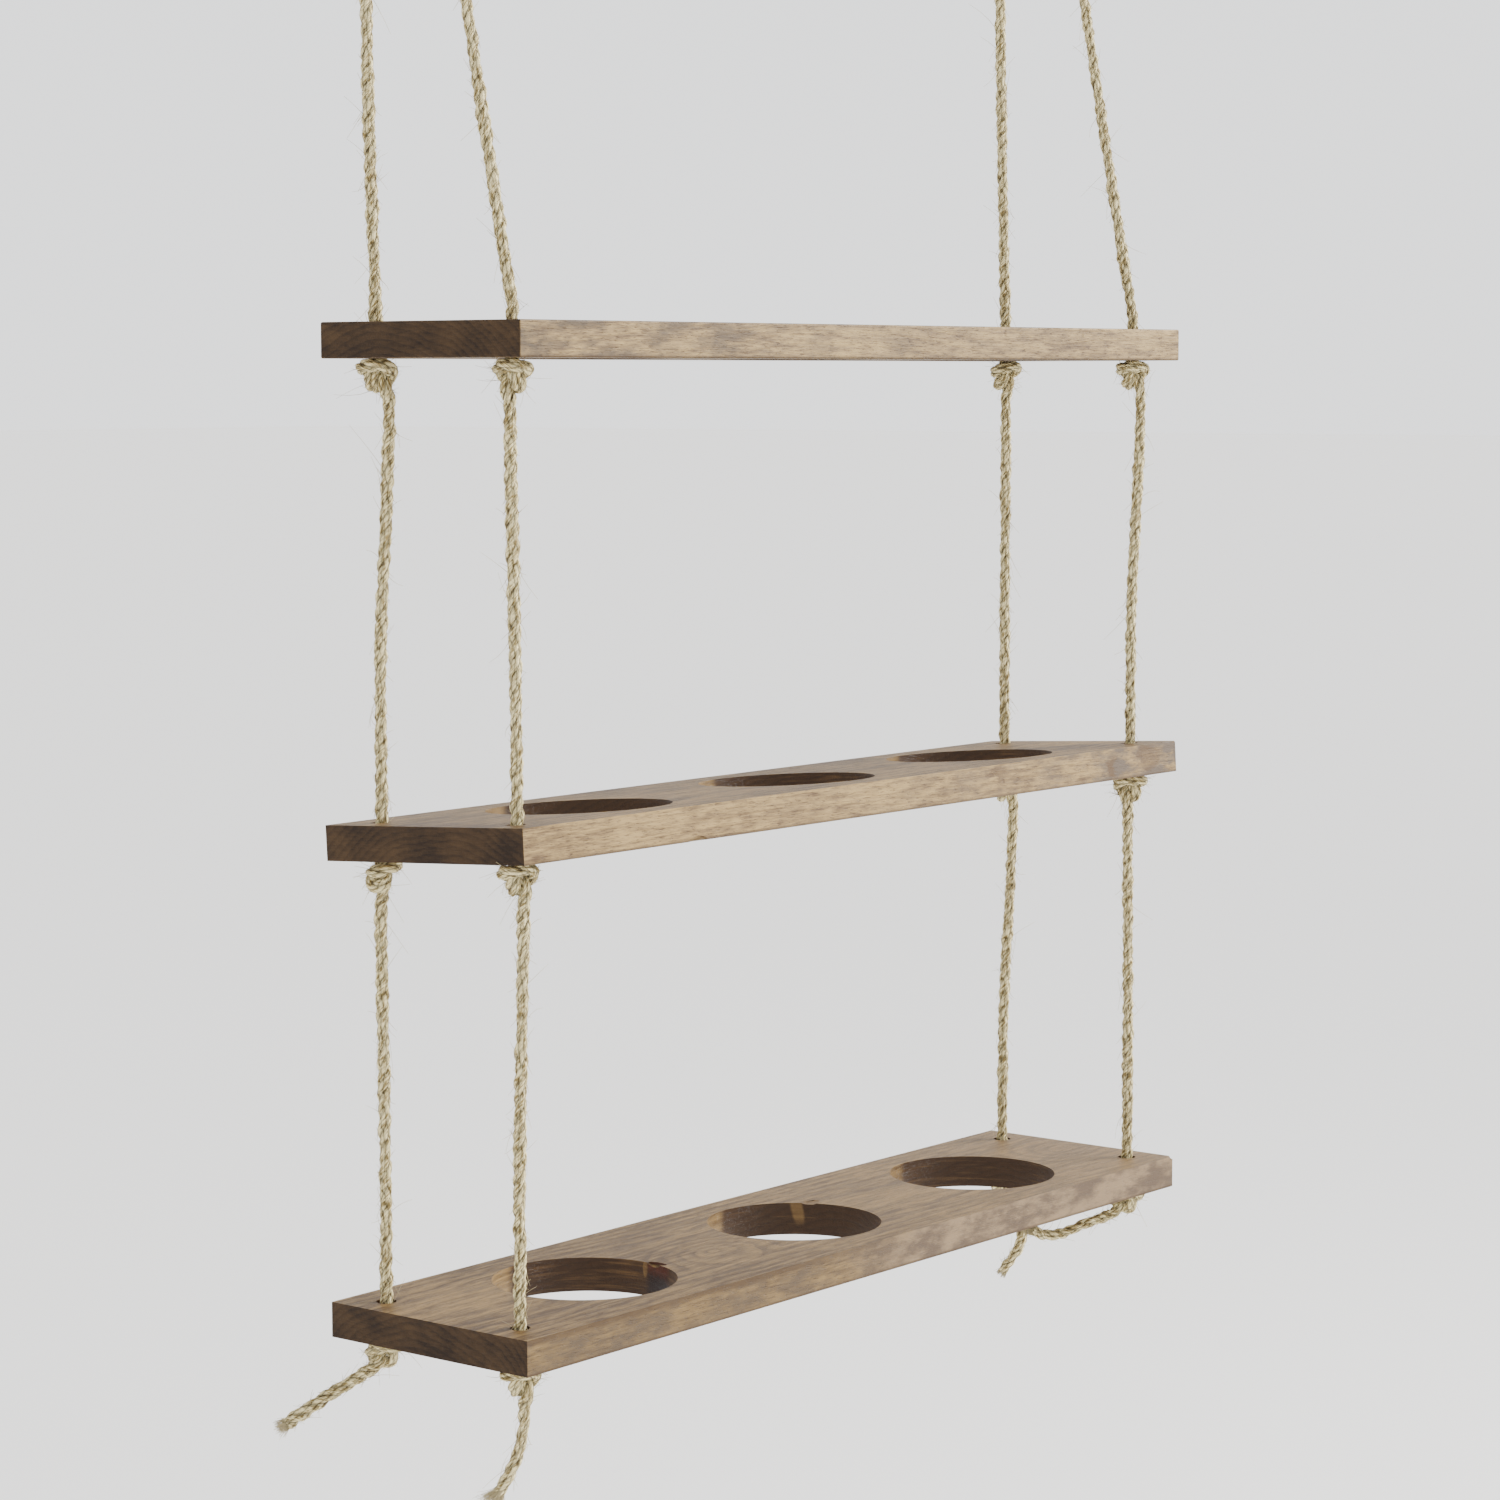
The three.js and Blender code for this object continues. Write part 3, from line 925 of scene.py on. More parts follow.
    def _hole(self, grain: Grain) -> Value:
        """The colour of the pot holes' walls: burnt by the saw, with tan and amber places, and a painted highlight on
        the side of each wall that faces the light.

        Args:
            grain: The board's grain.

        Returns:
            The colour.
        """
        mix, ring_cut = grain.graph.mix, grain.noise["ring_cut"]
        burnt = mix(grain.blend(0.45, late=0.2, sawn=0.4, ring_cut=0.7), self.burnt, self.end)
        hole = mix(grain.blend(-0.16, cloud=3.0, ring_cut=3.6) * 0.4, burnt, self.tan)
        # Painted highlight: a golden patch on the side of each pot hole's wall that faces the light
        for share in self.tier.hole_shares:
            side = (share * POT_HOLE_PITCH - 0.375 * POT_HOLE / 2, 0.927 * POT_HOLE / 2, 0.019)
            near = grain.near(grain.x, grain.y, side) * (ring_cut * 1.6 - 0.25).clip()
            hole = mix(near, hole, self.rubbed)
        for spot in self.ambers:
            near = grain.near(grain.x + (grain.z - 0.005) * 0.35, grain.y, spot)
            near = near * (grain.z + 0.006).step(0.0, 0.008) * (0.2 + ring_cut * 0.9)
            hole = mix(near * 0.8, hole, self.amber)
        return hole


@dataclass(frozen=True)
class Sisal:
    """Natural laid rope: straw fibres along the rope, with painted shade in the grooves of the lay and between its
    yarns.
    """

    name: str = "sisal_rope"
    pale: Point = (0.97, 0.84, 0.46)
    straw: Point = (0.37, 0.265, 0.095)
    shade: Point = (0.042, 0.027, 0.009)

    def material(self) -> Finish:
        """Makes the rope's material from its length and girth in metres.

        Returns:
            The material.
        """
        g = Graph(self.name)
        u, v, _ = g.split(g.node("ShaderNodeUVMap", {"uv_map": "girth_length"}))
        groove = g.attribute("groove")
        straight = u - v * (1.15 * math.pi * ROPE / ROPE_LAY)
        laid, twisted = g.at(u, v, 1.0), g.at(straight, v, 1.0)
        places = {"fine": twisted, "yarn": twisted, "strand": laid, "patch": laid}
        fine, yarn, strand, patch = (ROPE_LAYERS[word].noise(g, at) for word, at in places.items())
        bundle = (g.attribute("yarn") + v * YARNS_PER_METRE + (yarn - 0.5) * 1.2).sine().size()
        split = 1 - bundle.step(0.05, 0.55)
        light = ((fine - 0.5) * 4.0 + (yarn - 0.5) * 4.4 + (strand - 0.5) * 3.4 + patch + 0.1).clip()
        base = g.mix(light, self.straw, self.pale)
        crease = (0.46 - yarn).step(0.0, 0.09) * 0.35 + (0.44 - strand).step(0.0, 0.1) * 0.45
        # Painted shade: the grooves of the lay, the splits between yarns and the creases are mixed towards the shade
        # colour
        hollow = (groove * 0.7 + split * (0.35 + strand * 0.7) + crease + (0.5 - fine) * 0.8).clip()
        base = g.mix(hollow * 0.8, base, self.shade)
        relief = fine * 0.5 + bundle * 0.9 + strand * 0.5
        return g.finish(
            Base_Color=base,
            Roughness=0.8,
            Specular_IOR_Level=0.25,
            Sheen_Weight=0.08,
            Sheen_Roughness=0.45,
            Normal=g.bump(relief, 0.0009, 1.0),
        )


@dataclass(frozen=True)
class Fibre:
    """The pale loose fibres that stand off the rope."""

    name: str = "sisal_fibre"
    colour: Point = (0.62, 0.52, 0.30)
    dark_share: float = 0.55

    def material(self) -> Finish:
        """Makes the fibres' material, with a slow change of colour along the rope.

        Returns:
            The material.
        """
        g = Graph(self.name)
        dark = tuple(self.dark_share * part for part in self.colour)
        base = g.mix(g.noise(g.object_place(), 240.0, 1.0), dark, self.colour)
        return g.finish(Base_Color=base, Roughness=0.8, Specular_IOR_Level=0.3)


@dataclass(frozen=True)
class ZincSteel:
    """Zinc-plated steel, with a faint spangle and fine rubbing."""

    name: str = "zinc_steel"
    dull: Point = (0.34, 0.35, 0.36)
    bright: Point = (0.60, 0.61, 0.62)

    def material(self) -> Finish:
        """Makes the hooks' material.

        Returns:
            The material.
        """
        g = Graph(self.name)
        where = g.object_place()
        spangle = g.node("ShaderNodeTexVoronoi", {}, {"Vector": where, "Scale": 420.0}, "Color")
        facet, _, _ = g.split(spangle)
        smear = g.noise(where, 260.0, 4.0, 0.7)
        grit = g.noise(where, 3000.0, 2.0, 0.6)
        shine = (facet * 0.55 + (smear - 0.5) * 1.6 + 0.2).clip()
        return g.finish(
            Base_Color=g.mix(shine, self.dull, self.bright),
            Metallic=1.0,
            Roughness=0.30 + smear * 0.24 + facet * 0.1,
            Normal=g.bump(grit, 0.00002, 0.4),
        )


# Samples of a curve between two of its points, before they are spaced evenly
CURVE_STEPS = 24


def smooth_curve(points: Iterable[Point], step: float) -> Array:
    """Samples the centripetal curve through given points at an even step.

    Args:
        points: The points that the curve passes through.
        step: The distance between samples, about.

    Returns:
        One row for each sample, from the first point to the last.
    """
    p = np.array([tuple(point) for point in points], float)
    p = np.vstack([2 * p[0] - p[1], p, 2 * p[-1] - p[-2]])
    w = np.linspace(0, 1, CURVE_STEPS, endpoint=False)[:, None]
    fine = []
    for p0, p1, p2, p3 in zip(p, p[1:], p[2:], p[3:]):
        d0, d1, d2 = (np.linalg.norm(b - a) ** 0.5 for a, b in ((p0, p1), (p1, p2), (p2, p3)))
        t1 = ((p1 - p0) / d0 - (p2 - p0) / (d0 + d1) + (p2 - p1) / d1) * d1
        t2 = ((p2 - p1) / d1 - (p3 - p1) / (d1 + d2) + (p3 - p2) / d2) * d1
        cubic = 2 * p1 - 2 * p2 + t1 + t2
        square = -3 * p1 + 3 * p2 - 2 * t1 - t2
        fine.append(p1 + t1 * w + square * w ** 2 + cubic * w ** 3)
    return even_line(np.vstack([*fine, p[-2]]), step)


def along(line: Array) -> Array:
    """The distance from a line's start to each of its points."""
    steps = np.linalg.norm(np.diff(line, axis=0), axis=1)
    return np.concatenate([[0.0], np.cumsum(steps)])


def even_line(line: Array, step: float) -> Array:
    """Spaces the points of a line evenly.

    Args:
        line: One row for each point.
        step: The distance wanted between points, about.

    Returns:
        The same line with other points.
    """
    s = along(line)
    count = max(2, int(round(s[-1] / step)) + 1)
    at = np.linspace(0, s[-1], count)
    return np.stack([np.interp(at, s, line[:, k]) for k in range(3)], axis=1)


def lattice_corner(i: Array, j: Array, seed: int) -> Array:
    """A fixed random number between -1 and 1 for each corner of a lattice.

    Args:
        i: The corners' numbers one way.
        j: Their numbers the other way.
        seed: What tells this noise from others.

    Returns:
        The numbers, made by mixing the bits with large odd factors.
    """
    n = (i * 374761393 + j * 668265263 + seed * 974634777) & 0x7FFFFFFF
    n = ((n ^ (n >> 13)) * 1274126177) & 0x7FFFFFFF
    return (n ^ (n >> 16)) % 65536 / 32768.0 - 1.0


def lattice_noise(u: Array, v: Array, seed: int) -> Array:
    """Smooth noise at places on a plane, one cell of its lattice to a unit.

    Args:
        u: The places one way.
        v: The places the other way.
        seed: What tells this noise from others.

    Returns:
        The noise, between -1 and 1.
    """
    iu, iv = np.floor(u).astype(np.int64), np.floor(v).astype(np.int64)
    fu, fv = u - iu, v - iv
    fu, fv = fu * fu * (3 - 2 * fu), fv * fv * (3 - 2 * fv)
    rows = []
    for j in (iv, iv + 1):
        rows.append(lattice_corner(iu, j, seed) * (1 - fu) + lattice_corner(iu + 1, j, seed) * fu)
    return rows[0] * (1 - fv) + rows[1] * fv


@dataclass(frozen=True)
class Ripple:
    """Smooth noise on a rope: its height, its wave, what it adds to the seed and to each strand."""

    height: float
    wave: float
    shift: int
    strand_shift: float = 0.0


# How a rope is uneven: heights and waves in metres, but the turns in radians and PLUMP in shares
SLACK_TURN = Ripple(0.45, 0.017, 11)
YARN_TURN = Ripple(1.1, 0.009, 13, 3.0)
PLUMP = Ripple(0.13, 0.008, 5, 7.0)
SWELL = Ripple(0.00022, 0.019, 3)
LAID_ROUGH = Ripple(0.00022, 0.0009, 0)
LAID_ROUGH_LENGTH = 0.006
STRAIGHT_ROUGH = Ripple(0.00024, 0.42, 7)
STRAIGHT_ROUGH_LENGTH = 0.0035
# How the painted shade in the grooves varies along the rope, in shares
GROOVE_SHADE_RIPPLE = Ripple(0.4, 0.005, 9, 5.0)
YARN_HEIGHT = 0.00030
YARN_POWER = 0.7
YARN_MEAN = 0.7


# How dark the painted shade in the rope's grooves is: its power, its depth along the rope, and how much the rope's cut
# ends get
GROOVE_POWER = 1.6
GROOVE_SHADE_DEPTH = 0.72
CUT_END_DEPTH = 0.6
# Painted shade on the faces of a knot's turns that face its middle: how far they must face it
KNOT_INNER_SHADE = 0.15

# Slanting directions, from which one across a rope's start and one across a fibre are found
ROPE_SLANT = (0.31, 0.92, 0.17)
HAIR_SLANT = (0.27, 0.41, 0.87)


@dataclass(frozen=True)
class Fuzz:
    """The loose fibres of a rope: how many a metre has, and the share that stand well off it."""

    per_metre: float
    wild: float


@dataclass(frozen=True)
class Hair:
    """One kind of loose fibre: the gamma spread of its length in metres, and how far it lifts."""

    shape: float
    scale: float
    lift: tuple[float, float]

    def lengths(self, count: int, rng: np.random.Generator) -> Array:
        """Random lengths."""
        return rng.gamma(self.shape, self.scale, count)


FUZZ = Fuzz(1500, 0.20)
KNOT_FUZZ = Fuzz(2600, 0.24)
LONG_HAIR = Hair(2.5, 0.0028, (0.2, 1.3))
SHORT_HAIR = Hair(3.0, 0.0008, (0.08, 0.45))
SHORT_HAIR_STRETCH = 1.3
HAIR_LENGTHS = (0.0012, 0.018)
HAIR_SIDEWAYS = 0.4
HAIR_CURL = 0.35
HAIR_CURL_OUTWARD = (-0.25, 0.35)
HAIR_BEND = 0.6
HAIR_SUNK = 0.0002
HAIR_RADIUS = 0.00015
HAIR_TIP_SHARE = 0.45
HAIR_STEPS = np.linspace(0, 1, 4)[None, :, None]

# The brush at a cut end: counts, lengths and flares, each from hardly to fully frayed
BRUSH_COUNT = (110, 190)
BRUSH_SPREAD = (0.02, 1)
BRUSH_WIDTH = 0.40 * ROPE
BRUSH_SUNK = 0.004
BRUSH_LENGTH = 0.0045
BRUSH_FRAYED_LENGTH = (0.002, 0.009)
BRUSH_FLARE = (0.1, 0.8)
BRUSH_TANGLE = (0.05, 0.08)
BRUSH_BEND = 1.6


@dataclass
class Section:
    """A stretch of a rope that is a piece of its own."""

    name: str
    body: str
    points: list[Point]
    knot: bool = False
    cord: dict[str, Any] | None = None


@dataclass
class LaidRope:
    """One three-strand rope, made as a row of pieces that meet end to end with one lay."""

    sections: list[Section]
    seed: int
    step: float = 0.0009
    sides: int = 36
    strand: float = 0.00194
    strand_off: float = 0.00159
    roundness: float = 0.2
    squeeze_width: int = 9

    def __post_init__(self) -> None:
        """Samples the whole line and its frames, and shapes the outline of three strands."""
        parts = [smooth_curve(one.points, self.step) for one in self.sections]
        self.line = np.vstack(parts)
        self.starts = list(np.cumsum([0] + [len(part) for part in parts]))
        self.s = along(self.line)
        self.tangent, self.right, self.back = self._frames()
        self.radius = self._radius()
        self.around = 2 * np.pi * (np.arange(self.sides) + 0.5) / self.sides
        self.strands = np.arange(self.sides) * 3 // self.sides
        self.off = (self.around % (2 * np.pi / 3)) - np.pi / 3
        reach = np.sqrt(np.maximum(self.strand ** 2 - (self.strand_off * np.sin(self.off)) ** 2, 0))
        reach += self.strand_off * np.cos(self.off)
        self.profile = (1 - self.roundness) * reach + self.roundness * reach.mean()

    def _frames(self) -> tuple[Array, Array, Array]:
        """Finds how the line runs and two directions across it that don't spin about it.

        Returns:
            The three directions at each sample.
        """
        t = np.gradient(self.line, axis=0)
        t /= np.linalg.norm(t, axis=1)[:, None]
        right = np.zeros_like(t)
        start = np.cross(t[0], ROPE_SLANT)
        right[0] = start / np.linalg.norm(start)
        for i in range(1, len(t)):
            side = right[i - 1] - t[i] * (right[i - 1] @ t[i])
            right[i] = side / np.linalg.norm(side)
        return t, right, np.cross(t, right)

    def _radius(self) -> Array:
        """Sizes the rope, which is fuller in a knot.

        Returns:
            The share of its usual size at each sample.
        """
        share = np.ones(len(self.line))
        for one, at in self.spans():
            if one.knot:
                share[at] = KNOT_ROPE_SHARE
        window = 2 * self.squeeze_width + 1
        padded = np.pad(share, self.squeeze_width, mode="edge")
        return np.convolve(padded, np.ones(window) / window, mode="valid")

    def spans(self) -> Iterator[tuple[Section, slice]]:
        """Each section with the slice of its samples."""
        return zip(self.sections, map(slice, self.starts, self.starts[1:]))

    def length(self, at: slice) -> float:
        """The length of a stretch."""
        return float(self.s[at.stop - 1] - self.s[at.start])

    def _ripple(self, one: Ripple, places: Array, across: Any = None) -> Array:
        """Makes a ripple.

        Args:
            one: The ripple.
            places: Where it is wanted along its wave.
            across: Where it is wanted the other way. None sets the strands apart.

        Returns:
            Its height at each place.
        """
        if across is None:
            across = self.strands * one.strand_shift
        return lattice_noise(places / one.wave, across, self.seed + one.shift) * one.height

    def _yarns(self, at: slice) -> Array:
        """Finds how far the yarns turn within their strand.

        Args:
            at: The slice of its samples.

        Returns:
            The turn by sample and side, in radians.
        """
        out = self.profile * np.cos(self.off) - self.strand_off
        turn = np.arctan2(self.profile * np.sin(self.off), out)
        return 2 * turn[None] + self._ripple(YARN_TURN, self.s[at, None])

    def surface(self, at: slice) -> tuple[Array, Array, Array]:
        """Shapes a stretch of rope.

        Args:
            at: The slice of its samples.

        Returns:
            The points, the girth places and the outward directions, by sample and side.
        """
        s = self.s[at]
        slack = self._ripple(SLACK_TURN, s, 0.0)
        angle = self.around[None] + (2 * np.pi * s / ROPE_LAY + slack)[:, None]
        girth = angle * ROPE / 2
        length = np.broadcast_to(s[:, None], girth.shape)
        straight = self.around[None] - slack[:, None] * 0.5
        rough = self._ripple(LAID_ROUGH, girth, length / LAID_ROUGH_LENGTH)
        rough += self._ripple(STRAIGHT_ROUGH, straight, length / STRAIGHT_ROUGH_LENGTH)
        yarns = np.abs(np.sin(self._yarns(at) + YARNS_PER_METRE * length)) ** YARN_POWER
        rough += (yarns - YARN_MEAN) * YARN_HEIGHT
        plump = 1 + self._ripple(PLUMP, length)
        reach = self.profile[None] * self.radius[at, None] * plump + rough + self._ripple(SWELL, length)
        out = self.right[at, None] * np.cos(angle)[..., None]
        out = out + self.back[at, None] * np.sin(angle)[..., None]
        return self.line[at, None] + out * reach[..., None], girth, out

    def build(self, finish: Finish) -> list[Piece]:
        """Builds every section as a closed tube.

        Args:
            finish: The rope's material.

        Returns:
            One object for each section, in order.
        """
        made = []
        bodies = [one.body for one in self.sections[1:]] + [None]
        for (one, at), next_body in zip(self.spans(), bodies):
            obj = self._tube(one, slice(at.start, at.stop + (next_body == one.body)))
            obj.data.materials.append(finish)
            made.append(obj)
        return made

    def _tube(self, one: Section, at: slice) -> Piece:
        """Builds one section with capped ends, its girth and length, and its grooves.

        Args:
            one: The section.
            at: The slice of its samples.

        Returns:
            The section's object.
        """
        points, girth, out = self.surface(at)
        rings, n = points.shape[:2]
        ring = np.arange(rings - 1)[:, None] * n
        j = np.arange(n)[None]
        k = (j + 1) % n
        quads = np.stack([ring + j, ring + k, ring + n + k, ring + n + j], axis=-1).reshape(-1, 4)
        middle, tail = rings * n, (rings - 1) * n
        first = np.stack([np.full(n, middle), k[0], j[0]], axis=1)
        final = np.stack([np.full(n, middle + 1), tail + j[0], tail + k[0]], axis=1)
        corners = np.vstack([points.reshape(-1, 3), self.line[at][[0, -1]]])
        obj = mesh_object(one.name + "_laid", corners, quads)
        self._cap(obj, first, final)
        # Painted shade: points of a knot that face its middle are darkened, as if shaded by the turns around them
        from_heart = points - points.mean(axis=(0, 1))
        from_heart /= np.linalg.norm(from_heart, axis=2)[..., None]
        inner_shade = np.maximum(KNOT_INNER_SHADE - (from_heart * out).sum(axis=2), 0.0) * one.knot
        self._mark(obj, at, girth, inner_shade)
        return obj

    @staticmethod
    def _cap(obj: Piece, *fans: Array) -> None:
        """Closes the ends of a tube.

        Args:
            obj: The tube.
            fans: For each end, one row of point numbers for each triangle of its fan.
        """
        shape = bmesh.new()
        shape.from_mesh(obj.data)
        shape.verts.ensure_lookup_table()
        for corners in np.vstack(fans):
            shape.faces.new([shape.verts[int(i)] for i in corners]).smooth = True
        shape.to_mesh(obj.data)
        shape.free()

    def _mark(self, obj: Piece, at: slice, girth: Array, inner_shade: Array) -> None:
        """Stores each corner's place in the girth and length, and each point's painted shade: its depth in a groove
        and in its knot.

        Args:
            obj: The section's tube.
            at: The slice of its samples.
            girth: The girth places by sample and side.
            inner_shade: How much painted shade each point gets from facing the middle of its knot.
        """
        mesh, n = obj.data, self.sides
        flat = np.concatenate([girth.ravel(), [0.0, 0.0]])
        lengths = np.concatenate([np.repeat(self.s[at], n), self.s[at][[0, -1]]])
        corner = np.zeros(len(mesh.loops), dtype=np.int32)
        mesh.loops.foreach_get("vertex_index", corner)
        uv = np.stack([flat[corner], lengths[corner]], axis=1)
        seam = np.arange(n - 1, (len(girth) - 1) * n, n) * 4
        for place in (1, 2):
            uv[seam + place, 0] += np.pi * ROPE
        layer = mesh.uv_layers.new(name="girth_length")
        layer.data.foreach_set("uv", uv.astype(np.float32).ravel())
        hollow = (self.profile.max() - self.profile) / (self.profile.max() - self.profile.min())
        # The painted shade in the grooves, deeper or lighter along the rope
        worn = GROOVE_SHADE_DEPTH + self._ripple(GROOVE_SHADE_RIPPLE, self.s[at, None])
        depth = (hollow[None] ** GROOVE_POWER * worn + inner_shade).clip(0, 1).ravel()
        yarns = self._yarns(at).ravel()
        for word, value, end in (("groove", depth, CUT_END_DEPTH), ("yarn", yarns, 0.0)):
            layer = mesh.attributes.new(word, "FLOAT", "POINT")
            layer.data.foreach_set("value", np.concatenate([value, [end, end]]).astype(np.float32))

    def fibres(self, at: slice, fuzz: Fuzz, rng: np.random.Generator) -> Array:
        """Grows loose fibres on a stretch of rope.

        Args:
            at: The slice of its samples.
            fuzz: How many there are, and of which kind.
            rng: The source of random numbers.

        Returns:
            The points of each fibre, from root to tip.
        """
        points, _, out = self.surface(at)
        count = int(fuzz.per_metre * self.length(at))
        ring = rng.integers(0, len(points), count)
        side = rng.integers(0, self.sides, count)
        root, normal = points[ring, side], out[ring, side]
        run = self.tangent[at][ring] * rng.choice((-1.0, 1.0), count)[:, None]
        cross = np.cross(run, normal) * rng.normal(0, HAIR_SIDEWAYS, count)[:, None]
        long_one = rng.random(count) < fuzz.wild
        length = np.where(long_one, LONG_HAIR.lengths(count, rng), SHORT_HAIR.lengths(count, rng))
        length = length.clip(*HAIR_LENGTHS)
        length[~long_one] *= SHORT_HAIR_STRETCH
        lifts = [rng.uniform(*hair.lift, count) for hair in (LONG_HAIR, SHORT_HAIR)]
        away = run + cross + normal * np.where(long_one, *lifts)[:, None]
        away /= np.linalg.norm(away, axis=1)[:, None]
        curl = rng.normal(0, HAIR_CURL, (count, 3))
        curl = curl + normal * rng.uniform(*HAIR_CURL_OUTWARD, count)[:, None]
        reach = away[:, None] * HAIR_STEPS + curl[:, None] * HAIR_STEPS ** 2 * HAIR_BEND
        return root[:, None] - normal[:, None] * HAIR_SUNK + reach * length[:, None, None]

    def brush(self, frayed: float, rng: np.random.Generator) -> Array:
        """Grows the brush of fibres at a cut end.

        Args:
            frayed: How far the end has frayed.
            rng: The source of random numbers.

        Returns:
            The points of each fibre, from root to tip.
        """
        count = int(BRUSH_COUNT[0] + BRUSH_COUNT[1] * frayed)
        end, t = self.line[-1], self.tangent[-1]
        angle = rng.uniform(0, 2 * np.pi, count)
        out = self.right[-1] * np.cos(angle)[:, None] + self.back[-1] * np.sin(angle)[:, None]
        spread = np.sqrt(rng.uniform(*BRUSH_SPREAD, count))
        root = end - t * BRUSH_SUNK + out * (spread * BRUSH_WIDTH)[:, None]
        length = BRUSH_LENGTH + frayed * rng.uniform(*BRUSH_FRAYED_LENGTH, count)
        flare = out * (frayed * spread * rng.uniform(*BRUSH_FLARE, count))[:, None]
        flare += rng.normal(0, BRUSH_TANGLE[0] + BRUSH_TANGLE[1] * frayed, (count, 3))
        reach = t * HAIR_STEPS + flare[:, None] * HAIR_STEPS ** BRUSH_BEND
        return root[:, None] + reach * length[:, None, None]


def thread_mesh(name: str, threads: Array, finish: Finish) -> Piece:
    """Makes thin tapering fibres of three sides.

    Args:
        name: The piece's name.
        threads: The points of each fibre.
        finish: The fibres' material.

    Returns:
        One object that holds them all.
    """
    count, steps, _ = threads.shape
    t = np.gradient(threads, axis=1)
    t /= np.linalg.norm(t, axis=2)[..., None]
    u = np.cross(t, HAIR_SLANT)
    u /= np.linalg.norm(u, axis=2)[..., None]
    v = np.cross(t, u)
    angle = (2 * np.pi * np.arange(3) / 3)[None, None, :, None]
    taper = HAIR_RADIUS * np.linspace(1.0, HAIR_TIP_SHARE, steps)[None, :, None, None]
    ring = u[:, :, None] * np.cos(angle) + v[:, :, None] * np.sin(angle)
    points = (threads[:, :, None] + ring * taper).reshape(-1, 3)
    starts = (np.arange(count) * steps * 3)[:, None]
    base = starts[..., None] + (np.arange(steps - 1) * 3)[None, :, None]
    j = np.arange(3)[None, None]
    k = (j + 1) % 3
    walls = np.stack([base + j, base + k, base + 3 + k, base + 3 + j], axis=-1).reshape(-1, 4)
    tris = np.concatenate([walls[:, [0, 1, 2]], walls[:, [0, 2, 3]]])
    root = starts + np.array([0, 2, 1])[None]
    tip = starts + (steps - 1) * 3 + np.arange(3)[None]
    obj = mesh_object(name, points, np.vstack([tris, root, tip]))
    obj.data.materials.append(finish)
    return obj


def go_on(before: Vector, exit_point: Vector, run: float) -> list[Vector]:
    """Takes a rope straight on from the piece before it.

    Args:
        before: The last point but one of that piece.
        exit_point: Its last point.
        run: How far the rope goes on.

    Returns:
        Two points: one just off that piece, and one at the end of the run.
    """
    away = (exit_point - before).normalized()
    return [exit_point + away * FACE_GAP, exit_point + away * run]


@dataclass
class KnotPlace:
    """The route of one stopper knot in the frame, and where its rope comes out of the board."""

    points: list[Vector]
    entry: Vector


